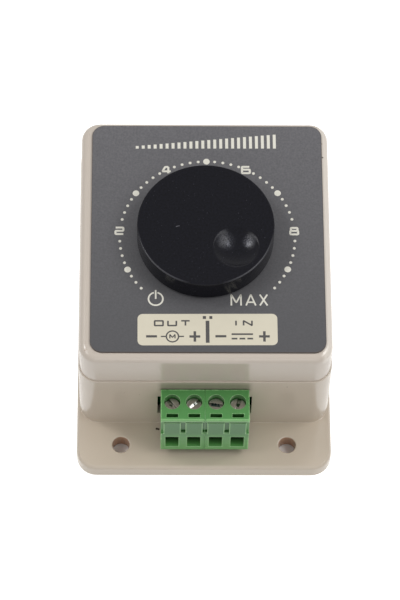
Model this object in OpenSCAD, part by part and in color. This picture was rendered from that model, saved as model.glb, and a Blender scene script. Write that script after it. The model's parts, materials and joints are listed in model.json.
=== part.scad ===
/* [Case] */
// Width of the base's walls, side to side
case_w = 58.8; // [57:0.1:70]
// Depth of the base's walls, front to back
case_d = 63.9; // [63:0.1:76]
// Height of the cover's top face above the surface the case stands on
case_h = 36; // [35:0.1:46]
// Height of the joint between base and cover
parting_z = 25.3; // [23:0.1:28]
// Thickness of the side walls
wall_t = 2.2; // [2:0.1:2.6]
// Thickness of the floor
floor_t = 2.4; // [2:0.1:3]
// Thickness of the cover's top
top_t = 2.2; // [1.6:0.1:3]
// Radius of the upright corners
corner_r = 4.6; // [3.4:0.1:5]
// Radius of the rounded edge round the cover's top
edge_r = 1.5; // [0.6:0.1:1.6]
// How far the cover's walls stand back from the base's walls
cover_step = 0.3; // [0.1:0.05:0.4]
// Depth of the shadow groove above the joint
groove_d = 0.3; // [0.1:0.05:0.4]
// Height of the shadow groove above the joint
groove_h = 0.4; // [0.2:0.05:0.8]
// Height of the lip that locates the cover
lip_h = 1.4; // [1:0.1:2.5]
// Thickness of that lip
lip_t = 0.9; // [0.7:0.05:1]

/* [Mounting flanges] */
// How far the flange stands out beside the base's walls
flange_side = 0.6; // [0.2:0.1:6]
// Reach of a flange beyond the case's wall
flange_reach = 12; // [10:0.1:16]
// Thickness of the flange plate
flange_t = 4; // [3:0.1:4.5]
// Radius of the flange's corners
flange_r = 4.7; // [3:0.1:5.6]
// Radius of the flange's upper edge
flange_edge_r = 0.8; // [0.4:0.1:1.2]
// Radius of a mounting hole
mount_hole_r = 2; // [1.6:0.05:2.4]
// Distance between the mounting holes, side to side
mount_span_x = 39.2; // [34:0.1:44]
// Distance from a mounting hole to the flange's end
mount_from_end = 6.1; // [5:0.1:6.2]

/* [Label] */
// Margin of the cover's top beside the printed label plate
label_side = 2; // [1.5:0.05:4]
// Margin of the cover's top in front of and behind the label plate
label_end = 1.6; // [1.5:0.05:4]
// Thickness of the label plate
label_t = 0.4; // [0.2:0.05:0.8]
// Radius of the label's corners
label_r = 2.9; // [1:0.1:4]
// How far the label was stuck on to the right of the middle
label_shift = 0.5; // [0:0.1:0.5]
// How far the label was stuck on to the back of the middle
label_back = 0.25; // [0:0.05:0.5]

/* [Knob] */
// Radius of the knob
knob_r = 15.9; // [14:0.1:17]
// Height of the knob's disc
knob_h = 6.1; // [5:0.1:8]
// Gap between the knob and the label
knob_gap = 0.5; // [0.3:0.05:1]
// Radius of the knob's upper edge
knob_edge_r = 0.35; // [0.3:0.05:1.2]
// Thickness of the knob over its hollow underside
knob_top_t = 3; // [2.6:0.1:3.4]
// Thickness of the knob's rim
knob_rim_t = 1.6; // [1.2:0.1:2.4]
// Radius of the finger dimple at the top face
dimple_r = 5.5; // [4:0.1:5.6]
// Depth of the finger dimple
dimple_depth = 1.7; // [1:0.1:1.8]
// Distance of the dimple from the knob's axis
dimple_at = 9.1; // [8.6:0.1:9.6]
// Direction of the dimple, turned from the right hand side
dimple_angle = -40; // [-60:1:240]
// Radius of the knob's hub
hub_r = 5.5; // [4.6:0.1:6]
// How far the hub reaches below the cover's top face
hub_drop = 3; // [2.4:0.1:3.2]

/* [Dial shaft and switch] */
// Radius of the shaft
shaft_r = 3; // [2.8:0.05:3.05]
// Depth of the flat on the shaft
flat_depth = 1.5; // [1:0.1:1.8]
// How far the shaft stops below the knob's top face
shaft_below = 2; // [1.8:0.1:2.4]
// Radial clearance of the shaft in its bushing
shaft_clear = 0.05; // [0.03:0.01:0.08]
// Outside radius of the threaded bushing
bushing_r = 3.5; // [3.45:0.05:3.9]
// Outside radius of the cans
can_r = 8.2; // [8:0.1:8.4]
// Gap between the bushing's end and the knob's hub
hub_lift = 1.2; // [1:0.1:2]

/* [Board] */
// Height of the bosses that the circuit board stands on
boss_h = 5.2; // [4.6:0.1:5.6]
// Thickness of the circuit board
board_t = 1.6; // [1.2:0.1:2]
// Gap between the board's edge and the walls
board_gap = 0.6; // [0.3:0.1:1]
// Radius of a main capacitor
capacitor_r = 6.25; // [5:0.05:6.3]
// Room between a main capacitor and the cover's top
capacitor_room = 4.6; // [3.6:0.1:12]
// Room between the heat sink and a screw column beside it
sink_side_gap = 1.3; // [1:0.1:4]
// Depth of the heat sink's fins
fin_d = 3.2; // [1.5:0.1:3.4]
// Number of fins
fin_count = 8; // [4:1:12]

/* [Terminal plug] */
// Distance from pole to pole
pitch = 5.08; // [5:0.04:5.2]
// Height of the plug
plug_h = 15.6; // [15:0.1:17]
// How far the plug stands out from the case's wall
plug_out = 8.2; // [8.2:0.1:9]
// Radius of a screw hole in the plug's top
screw_hole_r = 1.9; // [1.85:0.05:2.1]
// Radius of a clamp screw's head
screw_head_r = 1.75; // [1.6:0.05:1.8]
// Radius of a clamp screw's thread
thread_r = 1.22; // [1.1:0.02:1.26]
// How far a clamp rises when its screw is driven home
clamp_travel = 2.5; // [1.5:0.1:2.6]
// Width of a wire hole
wire_w = 3.1; // [2.6:0.1:3.3]
// Height of a wire hole
wire_h = 5.1; // [4:0.1:5.3]
// Gap between the plug's nose and its socket
slide_gap = 0.2; // [0.1:0.05:0.25]

/* [Hidden] */
$fn = 64;

// Cuts run past the faces that they open by this much
over = 1;
// Small clearance between a screw and the hole it bites into
bite = 0.03;
// Share of a turn that one step of a rounded edge covers
arc_step = 15;

// Case, worked out
cover_w = case_w - 2 * cover_step;
cover_d = case_d - 2 * cover_step;
lip_clear = 0.1;
inner_r = 0.5;
lip_inset = wall_t - lip_t;
front_y = -case_d / 2;
flange_w = case_w + 2 * flange_side;
flange_d = case_d + 2 * flange_reach;
mount_y = flange_d / 2 - mount_from_end;
seat_gap = 0.2;
label_w = cover_w - 2 * label_side;
label_d = cover_d - 2 * label_end;

// Screw columns in the base and posts under the cover
column_r = 3.7;
column_sink = 0.1;
column_x = case_w / 2 - wall_t - column_r + column_sink;
column_y = case_d / 2 - wall_t - column_r + column_sink;
column_top = 14;
post_r = 3.33;
case_screw_r = 1.45;
case_screw_head_r = 2.8;
case_screw_head_h = 2;
case_screw_len = 19;
post_bore_spare = 1;
head_clear = 0.3;
case_seat_z = 2.6;
post_bore_h = case_seat_z + case_screw_len + post_bore_spare - column_top;
through_r = 1.7;
cross_w = 0.7;
cross_share = 0.7;

// Board, its bosses and screws
board_z = floor_t + boss_h;
board_top = board_z + board_t;
board_w = case_w - 2 * (wall_t + board_gap);
board_d = case_d - 2 * (wall_t + board_gap);
boss_r = 3;
board_screw_share = [0.86, 0.6];
board_screw_x = board_w / 2 * board_screw_share[0];
board_screw_y = board_d / 2 * board_screw_share[1];
board_screw_r = 1.45;
board_screw_head_r = 2.75;
board_screw_head_h = 1.9;
board_screw_bite = 4.16;
board_screw_len = board_t + board_screw_bite;
board_hole_r = 1.6;
leg_below = 1.4;
leg_hole_clear = 0.15;

// Plug and socket, across
poles = 4;
plug_side = 0.115;
nose_step = 0.6;
socket_wall = 0.85;
opening_gap = 0.25;
opening_side_gap = 0.75;
plug_w = poles * pitch + 2 * plug_side;
nose_w = plug_w - 2 * nose_step;
socket_w = plug_w;
opening_w = socket_w + 2 * opening_side_gap;

// Plug and socket, up and down
socket_h = 8.4;
bay_z = board_top + socket_wall;
bay_h = socket_h - 2 * socket_wall;
pin_z = bay_z + bay_h / 2;
plug_drop = 7;
plug_z = pin_z - plug_drop;
plug_top = plug_z + plug_h;
nose_z = bay_z + slide_gap;
nose_h = bay_h - 2 * slide_gap;

// Plug and socket, front to back
socket_recess = 0.8;
socket_d = 12;
socket_back_t = 1.2;
socket_y = front_y + socket_recess;
plug_wall_gap = 0.25;
plug_back = front_y - plug_wall_gap;
plug_front = front_y - plug_out;
nose_back_gap = 2.45;
nose_tip = socket_y + socket_d - socket_back_t - nose_back_gap;
sleeve_start = 0.9;
sleeve_y = plug_back + sleeve_start;
pin_w = 1;
pin_end_gap = 1.95;
pin_tip = sleeve_y + pin_end_gap;
pin_leg = 1.9;
pin_hole = pin_w / 2 + bite;
pin_hole_r = 0.85;

// Clamps
screw_from_back = 3.15;
screw_y = plug_back - screw_from_back;
cage_w = 3.6;
cage_d = 4.7;
window_gap = 0.08;
cage_side_t = cage_w / 2 - thread_r - window_gap;
cage_floor_t = 0.6;
cage_top_t = 1;
cage_h = 8.5;
cage_gap = 0.15;
plug_floor_t = 0.7;
cage_z = plug_z + plug_floor_t + 2 * cage_gap;
well_z = plug_z + plug_floor_t;
well_top = cage_z + cage_h + clamp_travel + cage_gap;
bridge_t = 0.45;
screw_seat = well_top + bridge_t + cage_gap / 3;
screw_head_h = 1.25;
screw_slot_w = 0.75;
screw_slot_d = 0.7;
screw_angles = [-50, 40, -8, 75];
bar_side_gap = 0.3;
bar_w = 2 * (thread_r + window_gap - bar_side_gap);
bar_t = 0.8;
bar_lift = 0.2;
bar_z = pin_z + bar_lift - bar_t / 2;
screw_tip = bar_z + bar_t + cage_gap;
sleeve_w = 2.4;
sleeve_h = 3;
sleeve_t = 0.4;
sleeve_gap = 0.1;
nose_wall_t = 0.5;
sleeve_lap = 0.5;
sleeve_tip = nose_tip - nose_wall_t - sleeve_gap;
sleeve_len = sleeve_tip - sleeve_y;

// Relief of the plug's front and top
wire_lift = 1.6;
wire_z = plug_z + wire_lift;
block_w = 3.93;
block_lift = 8.4;
block_z = plug_z + block_lift;
block_below = 1.1;
block_top = plug_top - block_below;
relief_d = 0.6;
line_h = 0.45;
line_d = 0.35;
notch_h = 1;
notch_d = 1;
slot_w = 2.75;
slot_t = 0.95;
slot_front = 0.85;
slot_depth = 4;
seam = 0.14;
chamfer = 0.25;

// Heat sink and what is screwed to it
sink_plate_t = 2;
sink_back_gap = 0.6;
fin_t = 1;
sink_y = case_d / 2 - wall_t - sink_back_gap - fin_d - sink_plate_t;
sink_leg_r = 1;
sink_leg_share = 0.42;
sink_w = 2 * (column_x - column_r - sink_side_gap);
sink_leg_x = sink_w * sink_leg_share;
sink_share = 0.813;
sink_h = (case_h - top_t - board_top) * sink_share;
pad_t = 0.2;
device_share = 0.27;
device_w = sink_w * device_share;
pad_w = device_w + 2 * pad_t;
device_lift = 2.6;
sink_screw_r = 1.45;
sink_screw_head_r = 2.75;
sink_screw_head_h = 1.9;
sink_head_gap = 0.45;
tab_mid = sink_screw_head_r + sink_head_gap;
tab_t = 1.3;
tab_below = 1.8;
tab_h = sink_h - device_lift - tab_below;
device_h = tab_h - 2 * tab_mid;
device_t = 3.2;
device_shares = [-0.35, 0.35];
diode_share = 0;
leg_w = 0.8;
leg_t = 0.5;
leg_pitch = 2.54;
device_z = board_top + device_lift;
tab_y = sink_y - pad_t - tab_t;
device_y = tab_y - device_t;
tab_hole_z = device_z + device_h + tab_mid;

// Small parts on the board
capacitor_shares = [0.66, 0.22];
capacitor_x = board_w / 2 * capacitor_shares[0];
capacitor_y = board_d / 2 * capacitor_shares[1];
capacitor_h = case_h - top_t - capacitor_room - board_top;
capacitor_leg_r = 0.4;
capacitor_leg_x = 2.5;
crimp_r = 0.4;
crimp_z = 2.2;
vent_w = 0.5;
vent_d = 0.3;
chip_shares = [0.55, -0.41];
chip_x = board_w / 2 * chip_shares[0];
chip_y = board_d / 2 * chip_shares[1];
chip_w = 6.4;
chip_d = 9.4;
chip_h = 3.3;
chip_lift = 0.5;
chip_leg_w = 0.5;
chip_leg_t = 0.25;
chip_span = 7.62;
chip_notch_r = 0.8;
resistor_shares = [-0.54, -0.325];
resistor_x = board_w / 2 * resistor_shares[0];
resistor_mid_y = board_d / 2 * resistor_shares[1];
resistor_count = 4;
resistor_row = 2.75;
resistor_r = 1.2;
resistor_len = 6.3;
resistor_span = 10.16;
resistor_lift = 0.2;
lead_r = 0.3;
disc_share = 0.14;
disc_x = board_w / 2 * disc_share;
disc_y = (can_r + device_y) / 2;
disc_r = 2.2;
disc_t = 1.6;
disc_lift = 0.6;
disc_leg_x = 1.27;
thin_leg_r = 0.25;
regulator_shares = [0.85, -0.3];
regulator_x = board_w / 2 * regulator_shares[0];
regulator_y = board_d / 2 * regulator_shares[1];
regulator_r = 2.3;
regulator_h = 4.6;
regulator_lift = 1.5;
regulator_flat = 0.9;
regulator_pitch = 1.27;

// Dial stack on the board, from below
can_t = 0.5;
can_hole_gap = 0.2;
hub_z = case_h - hub_drop;
bushing_top = hub_z - hub_lift;
can_shares = [0.336, 0.336];
switch_can_h = (bushing_top - board_top) * can_shares[0];
dial_can_h = (bushing_top - board_top) * can_shares[1];
can_top = board_top + switch_can_h + dial_can_h;
deck_z = board_top + switch_can_h;
wafer_t = 1;
wafer_z = deck_z;
wafer_gap = 0.1;
wafer_r = can_r - can_t - wafer_gap;
stub_r = 2;
stub_hole_r = stub_r + shaft_clear;
track_r_share = 0.68;
rotor_r = 6;
rotor_t = 1.6;
rotor_lift = 1.6;
rotor_z = wafer_z + wafer_t + rotor_lift;
spring_t = 0.3;
spring_gap = 0.1;
spring_w = 2;
flange_disc_r = 5;
flange_disc_t = 0.6;
ring_r = 4.4;
ring_t = 0.6;
ring_gap = 0.15;
ring_groove = 0.4;
cam_lift = 2;
cam_z = board_top + cam_lift;
cam_t = 2.6;
cam_r = 3.6;
cam_lobe_w = 2.6;
cam_lobe_r = 5.4;
blade_x = 6.1;
blade_t = 0.3;
blade_w = 6;
blade_h = 2.2;
terminal_w = 1.2;
terminal_t = 0.4;
terminal_pitch = 4;
terminal_out = 10.6;
can_window_w = 11;
can_window_h = 1.6;
hub_hole_gap = 0.7;
hub_hole_r = hub_r + hub_hole_gap;
knob_z = case_h + label_t + knob_gap;
knob_top = knob_z + knob_h;
shaft_top = knob_top - shaft_below;
flat_z = hub_z;
dimple_ball_r = (dimple_r * dimple_r + dimple_depth * dimple_depth) / (2 * dimple_depth);

// Place of pole i, counted from the left
function pole_x(i) = (i - (poles + 1) / 2) * pitch;

// Place of resistor i, counted from the front
function resistor_y(i) = resistor_mid_y + (i - (resistor_count + 1) / 2) * resistor_row;

module rounded_rect(w, d, r) {
    square([w - 2 * r, d], center = true);
    square([w, d - 2 * r], center = true);
    for (x = [-1, 1], y = [-1, 1])
        translate([x * (w / 2 - r), y * (d / 2 - r)])
            circle(r);
}

// A slice of the case's outline, set in from the base's walls
module case_slice(inset, z0, z1) {
    slice_r = max(corner_r - inset, inner_r);
    translate([0, 0, z0])
        linear_extrude(z1 - z0)
            rounded_rect(case_w - 2 * inset, case_d - 2 * inset, slice_r);
}

// An upright block with rounded corners and a rounded upper edge
module soft_block(w, d, h, r, e) {
    corner = concat(
        [[0, 0], [r, 0]],
        [for (a = [0:arc_step:90]) [r - e + e * cos(a), h - e + e * sin(a)]],
        [[0, h]]
    );
    hull()
        for (x = [-1, 1], y = [-1, 1])
            translate([x * (w / 2 - r), y * (d / 2 - r), 0])
                rotate_extrude($fn = 32)
                    polygon(corner);
}

module at_columns() {
    for (x = [-1, 1], y = [-1, 1])
        translate([x * column_x, y * column_y, 0])
            children();
}

module at_board_screws() {
    for (x = [-1, 1], y = [-1, 1])
        translate([x * board_screw_x, y * board_screw_y, 0])
            children();
}

module at_mount_holes() {
    for (x = [-1, 1], y = [-1, 1])
        translate([x * mount_span_x / 2, y * mount_y, 0])
            children();
}

// A box centred on X and Y, standing on z0
module block(w, d, z0, z1) {
    translate([-w / 2, -d / 2, z0])
        cube([w, d, z1 - z0]);
}

// A cross recess for a screwdriver
module cross(reach, depth) {
    block(reach, cross_w, 0, depth);
    block(cross_w, reach, 0, depth);
}

// Base with its two flanges, screw columns and board bosses
module base_shell() {
    color([0.72, 0.68, 0.62])
        difference() {
            union() {
                difference() {
                    union() {
                        soft_block(flange_w, flange_d, flange_t, flange_r, flange_edge_r);
                        case_slice(0, 0, parting_z);
                        case_slice(lip_inset, parting_z, parting_z + lip_h);
                    }
                    case_slice(wall_t, floor_t, parting_z + lip_h + over);
                }
                at_columns()
                    cylinder(r = column_r, h = column_top);
                at_board_screws()
                    cylinder(r = boss_r, h = board_z);
            }
            at_mount_holes()
                translate([0, 0, -over])
                    cylinder(r = mount_hole_r, h = flange_t + 2 * over);
            at_columns() {
                translate([0, 0, -over])
                    cylinder(r = case_screw_head_r + head_clear, h = case_seat_z + over);
                translate([0, 0, case_seat_z - over])
                    cylinder(r = through_r, h = column_top - case_seat_z + 2 * over);
            }
            at_board_screws()
                translate([0, 0, board_top - board_screw_len - seat_gap])
                    cylinder(r = board_screw_r + bite, h = board_screw_len + over);
            translate([0, front_y, board_top])
                block(opening_w, 2 * wall_t + over, -opening_gap, socket_h + opening_gap);
        }
}

// Cover with its posts, the rebate for the lip and the hole for the knob's hub
module cover_shell() {
    color([0.74, 0.7, 0.64])
        difference() {
            union() {
                difference() {
                    translate([0, 0, parting_z])
                        soft_block(cover_w, cover_d, case_h - parting_z, corner_r - cover_step, edge_r);
                    case_slice(wall_t, parting_z - over, case_h - top_t);
                    case_slice(lip_inset - lip_clear, parting_z - over, parting_z + lip_h + lip_clear);
                    difference() {
                        case_slice(-over, parting_z - over, parting_z + groove_h);
                        case_slice(cover_step + groove_d, parting_z - 2 * over, parting_z + over);
                    }
                }
                at_columns()
                    translate([0, 0, column_top + seat_gap])
                        cylinder(r = post_r, h = case_h - top_t - column_top);
            }
            at_columns()
                translate([0, 0, column_top])
                    cylinder(r = case_screw_r + bite, h = post_bore_h);
            translate([0, 0, case_h - top_t - over])
                cylinder(r = hub_hole_r, h = top_t + 2 * over);
        }
}

// Printed plastic sheet stuck on the cover
module label_plate() {
    color([0.38, 0.38, 0.39])
        translate([0, 0, case_h])
            linear_extrude(label_t)
                difference() {
                    translate([label_shift, label_back])
                        rounded_rect(label_w, label_d, label_r);
                    circle(hub_hole_r);
                }
}

// Tapping screws that hold the cover, driven from below
module case_screws() {
    color([0.6, 0.6, 0.62])
        at_columns()
            difference() {
                union() {
                    translate([0, 0, case_seat_z - case_screw_head_h])
                        cylinder(r = case_screw_head_r, h = case_screw_head_h);
                    translate([0, 0, case_seat_z])
                        cylinder(r = case_screw_r, h = case_screw_len);
                }
                translate([0, 0, case_seat_z - case_screw_head_h - over])
                    cross(2 * case_screw_head_r * cross_share, over + case_screw_head_h / 2);
            }
}

// Hole in the board for a leg of radius r
module leg_hole(r) {
    circle(r + leg_hole_clear, $fn = 24);
}

// Every leg hole on the board, each at the place of its part
module board_holes() {
    for (x = [-1, 1], y = [-1, 1])
        translate([x * board_screw_x, y * board_screw_y])
            circle(board_hole_r);
    for (i = [1:poles])
        translate([pole_x(i), socket_y + socket_d + pin_leg])
            circle(pin_hole_r);
    for (x = [-1, 1]) {
        translate([x * sink_leg_x, sink_y + sink_plate_t / 2])
            leg_hole(sink_leg_r);
        for (l = [-1, 1])
            translate([x * capacitor_x + l * capacitor_leg_x, capacitor_y])
                leg_hole(capacitor_leg_r);
        for (l = [-1, 1])
            translate([x * disc_x + l * disc_leg_x, disc_y])
                leg_hole(thin_leg_r);
    }
    for (s = concat(device_shares, [diode_share]), l = [-1:1])
        translate([s * sink_w + l * leg_pitch, tab_y + tab_t / 2 - leg_t])
            leg_hole(leg_w / 2);
    for (x = [-1, 1], i = [0:3])
        translate([chip_x + x * chip_span / 2, chip_y + (i - 1.5) * leg_pitch])
            leg_hole(chip_leg_w / 2);
    for (i = [1:resistor_count], l = [-1, 1])
        translate([resistor_x + l * resistor_span / 2, resistor_y(i)])
            leg_hole(lead_r);
    for (l = [-1:1])
        translate([regulator_x + l * regulator_pitch, regulator_y])
            leg_hole(thin_leg_r);
    for (l = [-1:1])
        translate([l * terminal_pitch, -terminal_out + terminal_t / 2])
            leg_hole(terminal_w / 2);
    for (l = [-1, 1])
        translate([l * terminal_pitch, can_r + terminal_w])
            leg_hole(terminal_w / 2);
}

// Green-lacquered circuit board, notched round the screw columns
module circuit_board() {
    color([0.1, 0.36, 0.2])
        translate([0, 0, board_z])
            linear_extrude(board_t)
                difference() {
                    square([board_w, board_d], center = true);
                    for (x = [-1, 1], y = [-1, 1])
                        translate([x * column_x, y * column_y]) {
                            circle(column_r + board_gap);
                            translate([x * column_r, 0])
                                square(2 * (column_r + board_gap), center = true);
                            translate([0, y * column_r])
                                square(2 * (column_r + board_gap), center = true);
                        }
                    board_holes();
                }
}

// Pan head screws that fix the board to its bosses
module board_screws() {
    color([0.7, 0.7, 0.72])
        at_board_screws()
            translate([0, 0, board_top])
                difference() {
                    union() {
                        cylinder(r = board_screw_head_r, h = board_screw_head_h);
                        translate([0, 0, -board_screw_len])
                            cylinder(r = board_screw_r, h = board_screw_len);
                    }
                    translate([0, 0, board_screw_head_h / 2])
                        cross(2 * board_screw_head_r * cross_share, over + board_screw_head_h / 2);
                }
}

// Socket on the board's front edge that the plug goes into
module terminal_socket() {
    color([0.25, 0.5, 0.27])
        difference() {
            translate([0, socket_y + socket_d / 2, 0])
                block(socket_w, socket_d, board_top, board_top + socket_h);
            translate([0, socket_y - over + (socket_d - socket_back_t + over) / 2, 0])
                block(socket_w + over, socket_d - socket_back_t + over, bay_z, bay_z + bay_h);
            for (i = [1:poles])
                translate([pole_x(i), socket_y + socket_d, pin_z])
                    block(2 * pin_hole, 2 * socket_back_t + over, -pin_hole, pin_hole);
        }
}

// Square pins bent down through the board behind the socket
module socket_pins() {
    leg_y = socket_y + socket_d + pin_leg;
    color([0.8, 0.78, 0.7])
        for (i = [1:poles])
            translate([pole_x(i), 0, 0]) {
                translate([0, (pin_tip + leg_y + pin_w / 2) / 2, 0])
                    block(pin_w, leg_y + pin_w / 2 - pin_tip, pin_z - pin_w / 2, pin_z + pin_w / 2);
                translate([0, leg_y, 0])
                    block(pin_w, pin_w, board_z - leg_below, pin_z);
            }
}

// Finned aluminium heat sink on two legs
module heat_sink() {
    color([0.75, 0.76, 0.78])
        difference() {
            union() {
                translate([0, sink_y + sink_plate_t / 2, 0])
                    block(sink_w, sink_plate_t, board_top, board_top + sink_h);
                for (i = [0:fin_count - 1])
                    translate([(sink_w - fin_t) * (i / (fin_count - 1) - 0.5), sink_y + sink_plate_t, 0])
                        translate([0, fin_d / 2, 0])
                            block(fin_t, fin_d, board_top, board_top + sink_h);
                for (x = [-1, 1])
                    translate([x * sink_leg_x, sink_y + sink_plate_t / 2, board_z - leg_below])
                        cylinder(r = sink_leg_r, h = board_t + leg_below + over);
            }
            for (s = concat(device_shares, [diode_share]))
                translate([s * sink_w, sink_y - over, tab_hole_z])
                    rotate([-90, 0, 0])
                        cylinder(r = sink_screw_r + bite, h = sink_plate_t + fin_d + 2 * over);
        }
}

// Thin pads between the heat sink and what is screwed to it
module insulating_pads() {
    color([0.75, 0.8, 0.85])
        for (s = concat(device_shares, [diode_share]))
            difference() {
                translate([s * sink_w, sink_y - pad_t / 2, 0])
                    block(pad_w, pad_t, device_z, device_z + tab_h + pad_t);
                translate([s * sink_w, sink_y - over, tab_hole_z])
                    rotate([-90, 0, 0])
                        cylinder(r = through_r, h = 2 * over);
            }
}

// Black moulded body of a power device
module device_body() {
    translate([0, device_y + device_t / 2, 0])
        block(device_w, device_t, device_z, device_z + device_h);
}

// Metal tab of a power device, and its legs
module device_tab(legs) {
    difference() {
        translate([0, tab_y + tab_t / 2, 0])
            block(device_w, tab_t, device_z, device_z + tab_h);
        translate([0, tab_y - over, tab_hole_z])
            rotate([-90, 0, 0])
                cylinder(r = through_r, h = tab_t + 2 * over);
    }
    for (l = legs)
        translate([l * leg_pitch, tab_y + tab_t / 2 - leg_t, 0])
            block(leg_w, leg_t, board_z - leg_below, device_z);
}

// Moulded bodies of the two switching transistors
module transistor_bodies() {
    color([0.08, 0.08, 0.08])
        for (s = device_shares)
            translate([s * sink_w, 0, 0])
                device_body();
}

// Tabs and legs of the two switching transistors
module transistor_tabs() {
    color([0.7, 0.7, 0.7])
        for (s = device_shares)
            translate([s * sink_w, 0, 0])
                device_tab([-1, 0, 1]);
}

// Moulded body of the diode across the motor
module diode_body() {
    color([0.08, 0.08, 0.08])
        translate([diode_share * sink_w, 0, 0])
            device_body();
}

// Tab and legs of the diode
module diode_tab() {
    color([0.7, 0.7, 0.7])
        translate([diode_share * sink_w, 0, 0])
            device_tab([-1, 1]);
}

// Screws through the tabs and pads into the heat sink
module heat_sink_screws() {
    color([0.7, 0.7, 0.72])
        for (s = concat(device_shares, [diode_share]))
            translate([s * sink_w, tab_y, tab_hole_z])
                rotate([-90, 0, 0])
                    difference() {
                        union() {
                            translate([0, 0, -sink_screw_head_h])
                                cylinder(r = sink_screw_head_r, h = sink_screw_head_h);
                            cylinder(r = sink_screw_r, h = tab_t + pad_t + sink_plate_t);
                        }
                        translate([0, 0, -sink_screw_head_h - over])
                            cross(2 * sink_screw_head_r * cross_share, over + sink_screw_head_h / 2);
                    }
}

// Two electrolytic capacitors, crimped near the foot and scored on top
module main_capacitors() {
    color([0.12, 0.14, 0.2])
        for (x = [-1, 1])
            translate([x * capacitor_x, capacitor_y, board_top])
                difference() {
                    cylinder(r = capacitor_r, h = capacitor_h);
                    translate([0, 0, crimp_z])
                        rotate_extrude()
                            translate([capacitor_r, 0])
                                circle(crimp_r, $fn = 24);
                    translate([0, 0, capacitor_h - vent_d]) {
                        block(capacitor_r, vent_w, 0, over);
                        block(vent_w, capacitor_r, 0, over);
                    }
                }
}

// Legs of the two main capacitors
module capacitor_legs() {
    color([0.8, 0.8, 0.8])
        for (x = [-1, 1], l = [-1, 1])
            translate([x * capacitor_x + l * capacitor_leg_x, capacitor_y, board_z - leg_below])
                cylinder(r = capacitor_leg_r, h = board_t + leg_below);
}

// Timer chip that makes the pulses
module control_chip() {
    color([0.1, 0.1, 0.1])
        difference() {
            translate([chip_x, chip_y, 0])
                block(chip_w, chip_d, board_top + chip_lift, board_top + chip_lift + chip_h);
            translate([chip_x, chip_y + chip_d / 2, board_top + chip_lift + chip_h / 2])
                cylinder(r = chip_notch_r, h = chip_h);
        }
}

// Eight legs of the chip, flat out and then down
module chip_pins() {
    shoulder_z = board_top + chip_lift + chip_h / 2;
    shoulder = (chip_span + chip_leg_t - chip_w) / 2;
    color([0.8, 0.8, 0.8])
        for (x = [-1, 1], i = [0:3])
            translate([chip_x, chip_y + (i - 1.5) * leg_pitch, 0]) {
                translate([x * (chip_w + shoulder) / 2, 0, shoulder_z])
                    block(shoulder, 2 * chip_leg_w, 0, chip_leg_t);
                translate([x * chip_span / 2, 0, 0])
                    block(chip_leg_t, chip_leg_w, board_z - leg_below, shoulder_z + chip_leg_t / 2);
            }
}

// Four film resistors lying in a row
module resistors() {
    lead_z = board_top + resistor_lift + resistor_r;
    color([0.75, 0.66, 0.5])
        for (i = [1:resistor_count])
            translate([resistor_x - resistor_len / 2, resistor_y(i), lead_z])
                rotate([0, 90, 0])
                    cylinder(r = resistor_r, h = resistor_len);
}

// Bent leads at both ends of each resistor
module resistor_leads() {
    lead_z = board_top + resistor_lift + resistor_r;
    color([0.8, 0.8, 0.8])
        for (i = [1:resistor_count], l = [-1, 1])
            translate([resistor_x, resistor_y(i), 0]) {
                translate([l * resistor_span / 2, 0, board_z - leg_below])
                    cylinder(r = lead_r, h = lead_z - board_z + leg_below, $fn = 24);
                translate([l * resistor_span / 2, 0, lead_z])
                    sphere(r = lead_r, $fn = 24);
                translate([l * resistor_len / 2, 0, lead_z])
                    rotate([0, l * 90, 0])
                        cylinder(r = lead_r, h = (resistor_span - resistor_len) / 2, $fn = 24);
            }
}

// Two small disc capacitors standing on edge
module disc_capacitors() {
    color([0.8, 0.5, 0.2])
        for (x = [-1, 1])
            translate([x * disc_x, disc_y + disc_t / 2, board_top + disc_lift + disc_r])
                rotate([90, 0, 0])
                    cylinder(r = disc_r, h = disc_t);
}

// Legs of the disc capacitors, up to the rim of each disc
module disc_capacitor_legs() {
    reach = disc_lift + disc_r - sqrt(disc_r * disc_r - disc_leg_x * disc_leg_x);
    color([0.8, 0.8, 0.8])
        difference() {
            for (x = [-1, 1], l = [-1, 1])
                translate([x * disc_x + l * disc_leg_x, disc_y, board_z - leg_below])
                    cylinder(r = thin_leg_r, h = board_t + leg_below + reach + thin_leg_r, $fn = 24);
            for (x = [-1, 1])
                translate([x * disc_x, disc_y + disc_t / 2, board_top + disc_lift + disc_r])
                    rotate([90, 0, 0])
                        cylinder(r = disc_r, h = disc_t);
        }
}

// Small regulator that feeds the chip, flat on one side
module regulator() {
    color([0.1, 0.1, 0.1])
        translate([regulator_x, regulator_y, board_top + regulator_lift])
            difference() {
                cylinder(r = regulator_r, h = regulator_h);
                translate([0, regulator_r + regulator_flat, 0])
                    block(2 * regulator_r + over, 2 * regulator_r, -over, regulator_h + over);
            }
}

// Three legs of the regulator
module regulator_legs() {
    color([0.8, 0.8, 0.8])
        for (l = [-1:1])
            translate([regulator_x + l * regulator_pitch, regulator_y, board_z - leg_below])
                cylinder(r = thin_leg_r, h = board_t + leg_below + regulator_lift, $fn = 24);
}

// Can of the dial, with a window for the track's terminals
module dial_can() {
    color([0.75, 0.75, 0.76])
        difference() {
            translate([0, 0, deck_z])
                cylinder(r = can_r, h = dial_can_h);
            translate([0, 0, deck_z - over])
                cylinder(r = can_r - can_t, h = dial_can_h - can_t + over);
            translate([0, 0, deck_z])
                cylinder(r = shaft_r + can_hole_gap, h = dial_can_h + over);
            translate([0, -can_r, 0])
                block(can_window_w, can_r, deck_z - over, deck_z + can_window_h);
        }
}

// Threaded bushing that guides the shaft
module dial_bushing() {
    color([0.78, 0.76, 0.7])
        difference() {
            union() {
                translate([0, 0, can_top])
                    cylinder(r = bushing_r, h = bushing_top - can_top);
                translate([0, 0, can_top])
                    cylinder(r = flange_disc_r, h = flange_disc_t);
            }
            translate([0, 0, can_top - over])
                cylinder(r = shaft_r + shaft_clear, h = bushing_top - can_top + 2 * over);
        }
}

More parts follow.
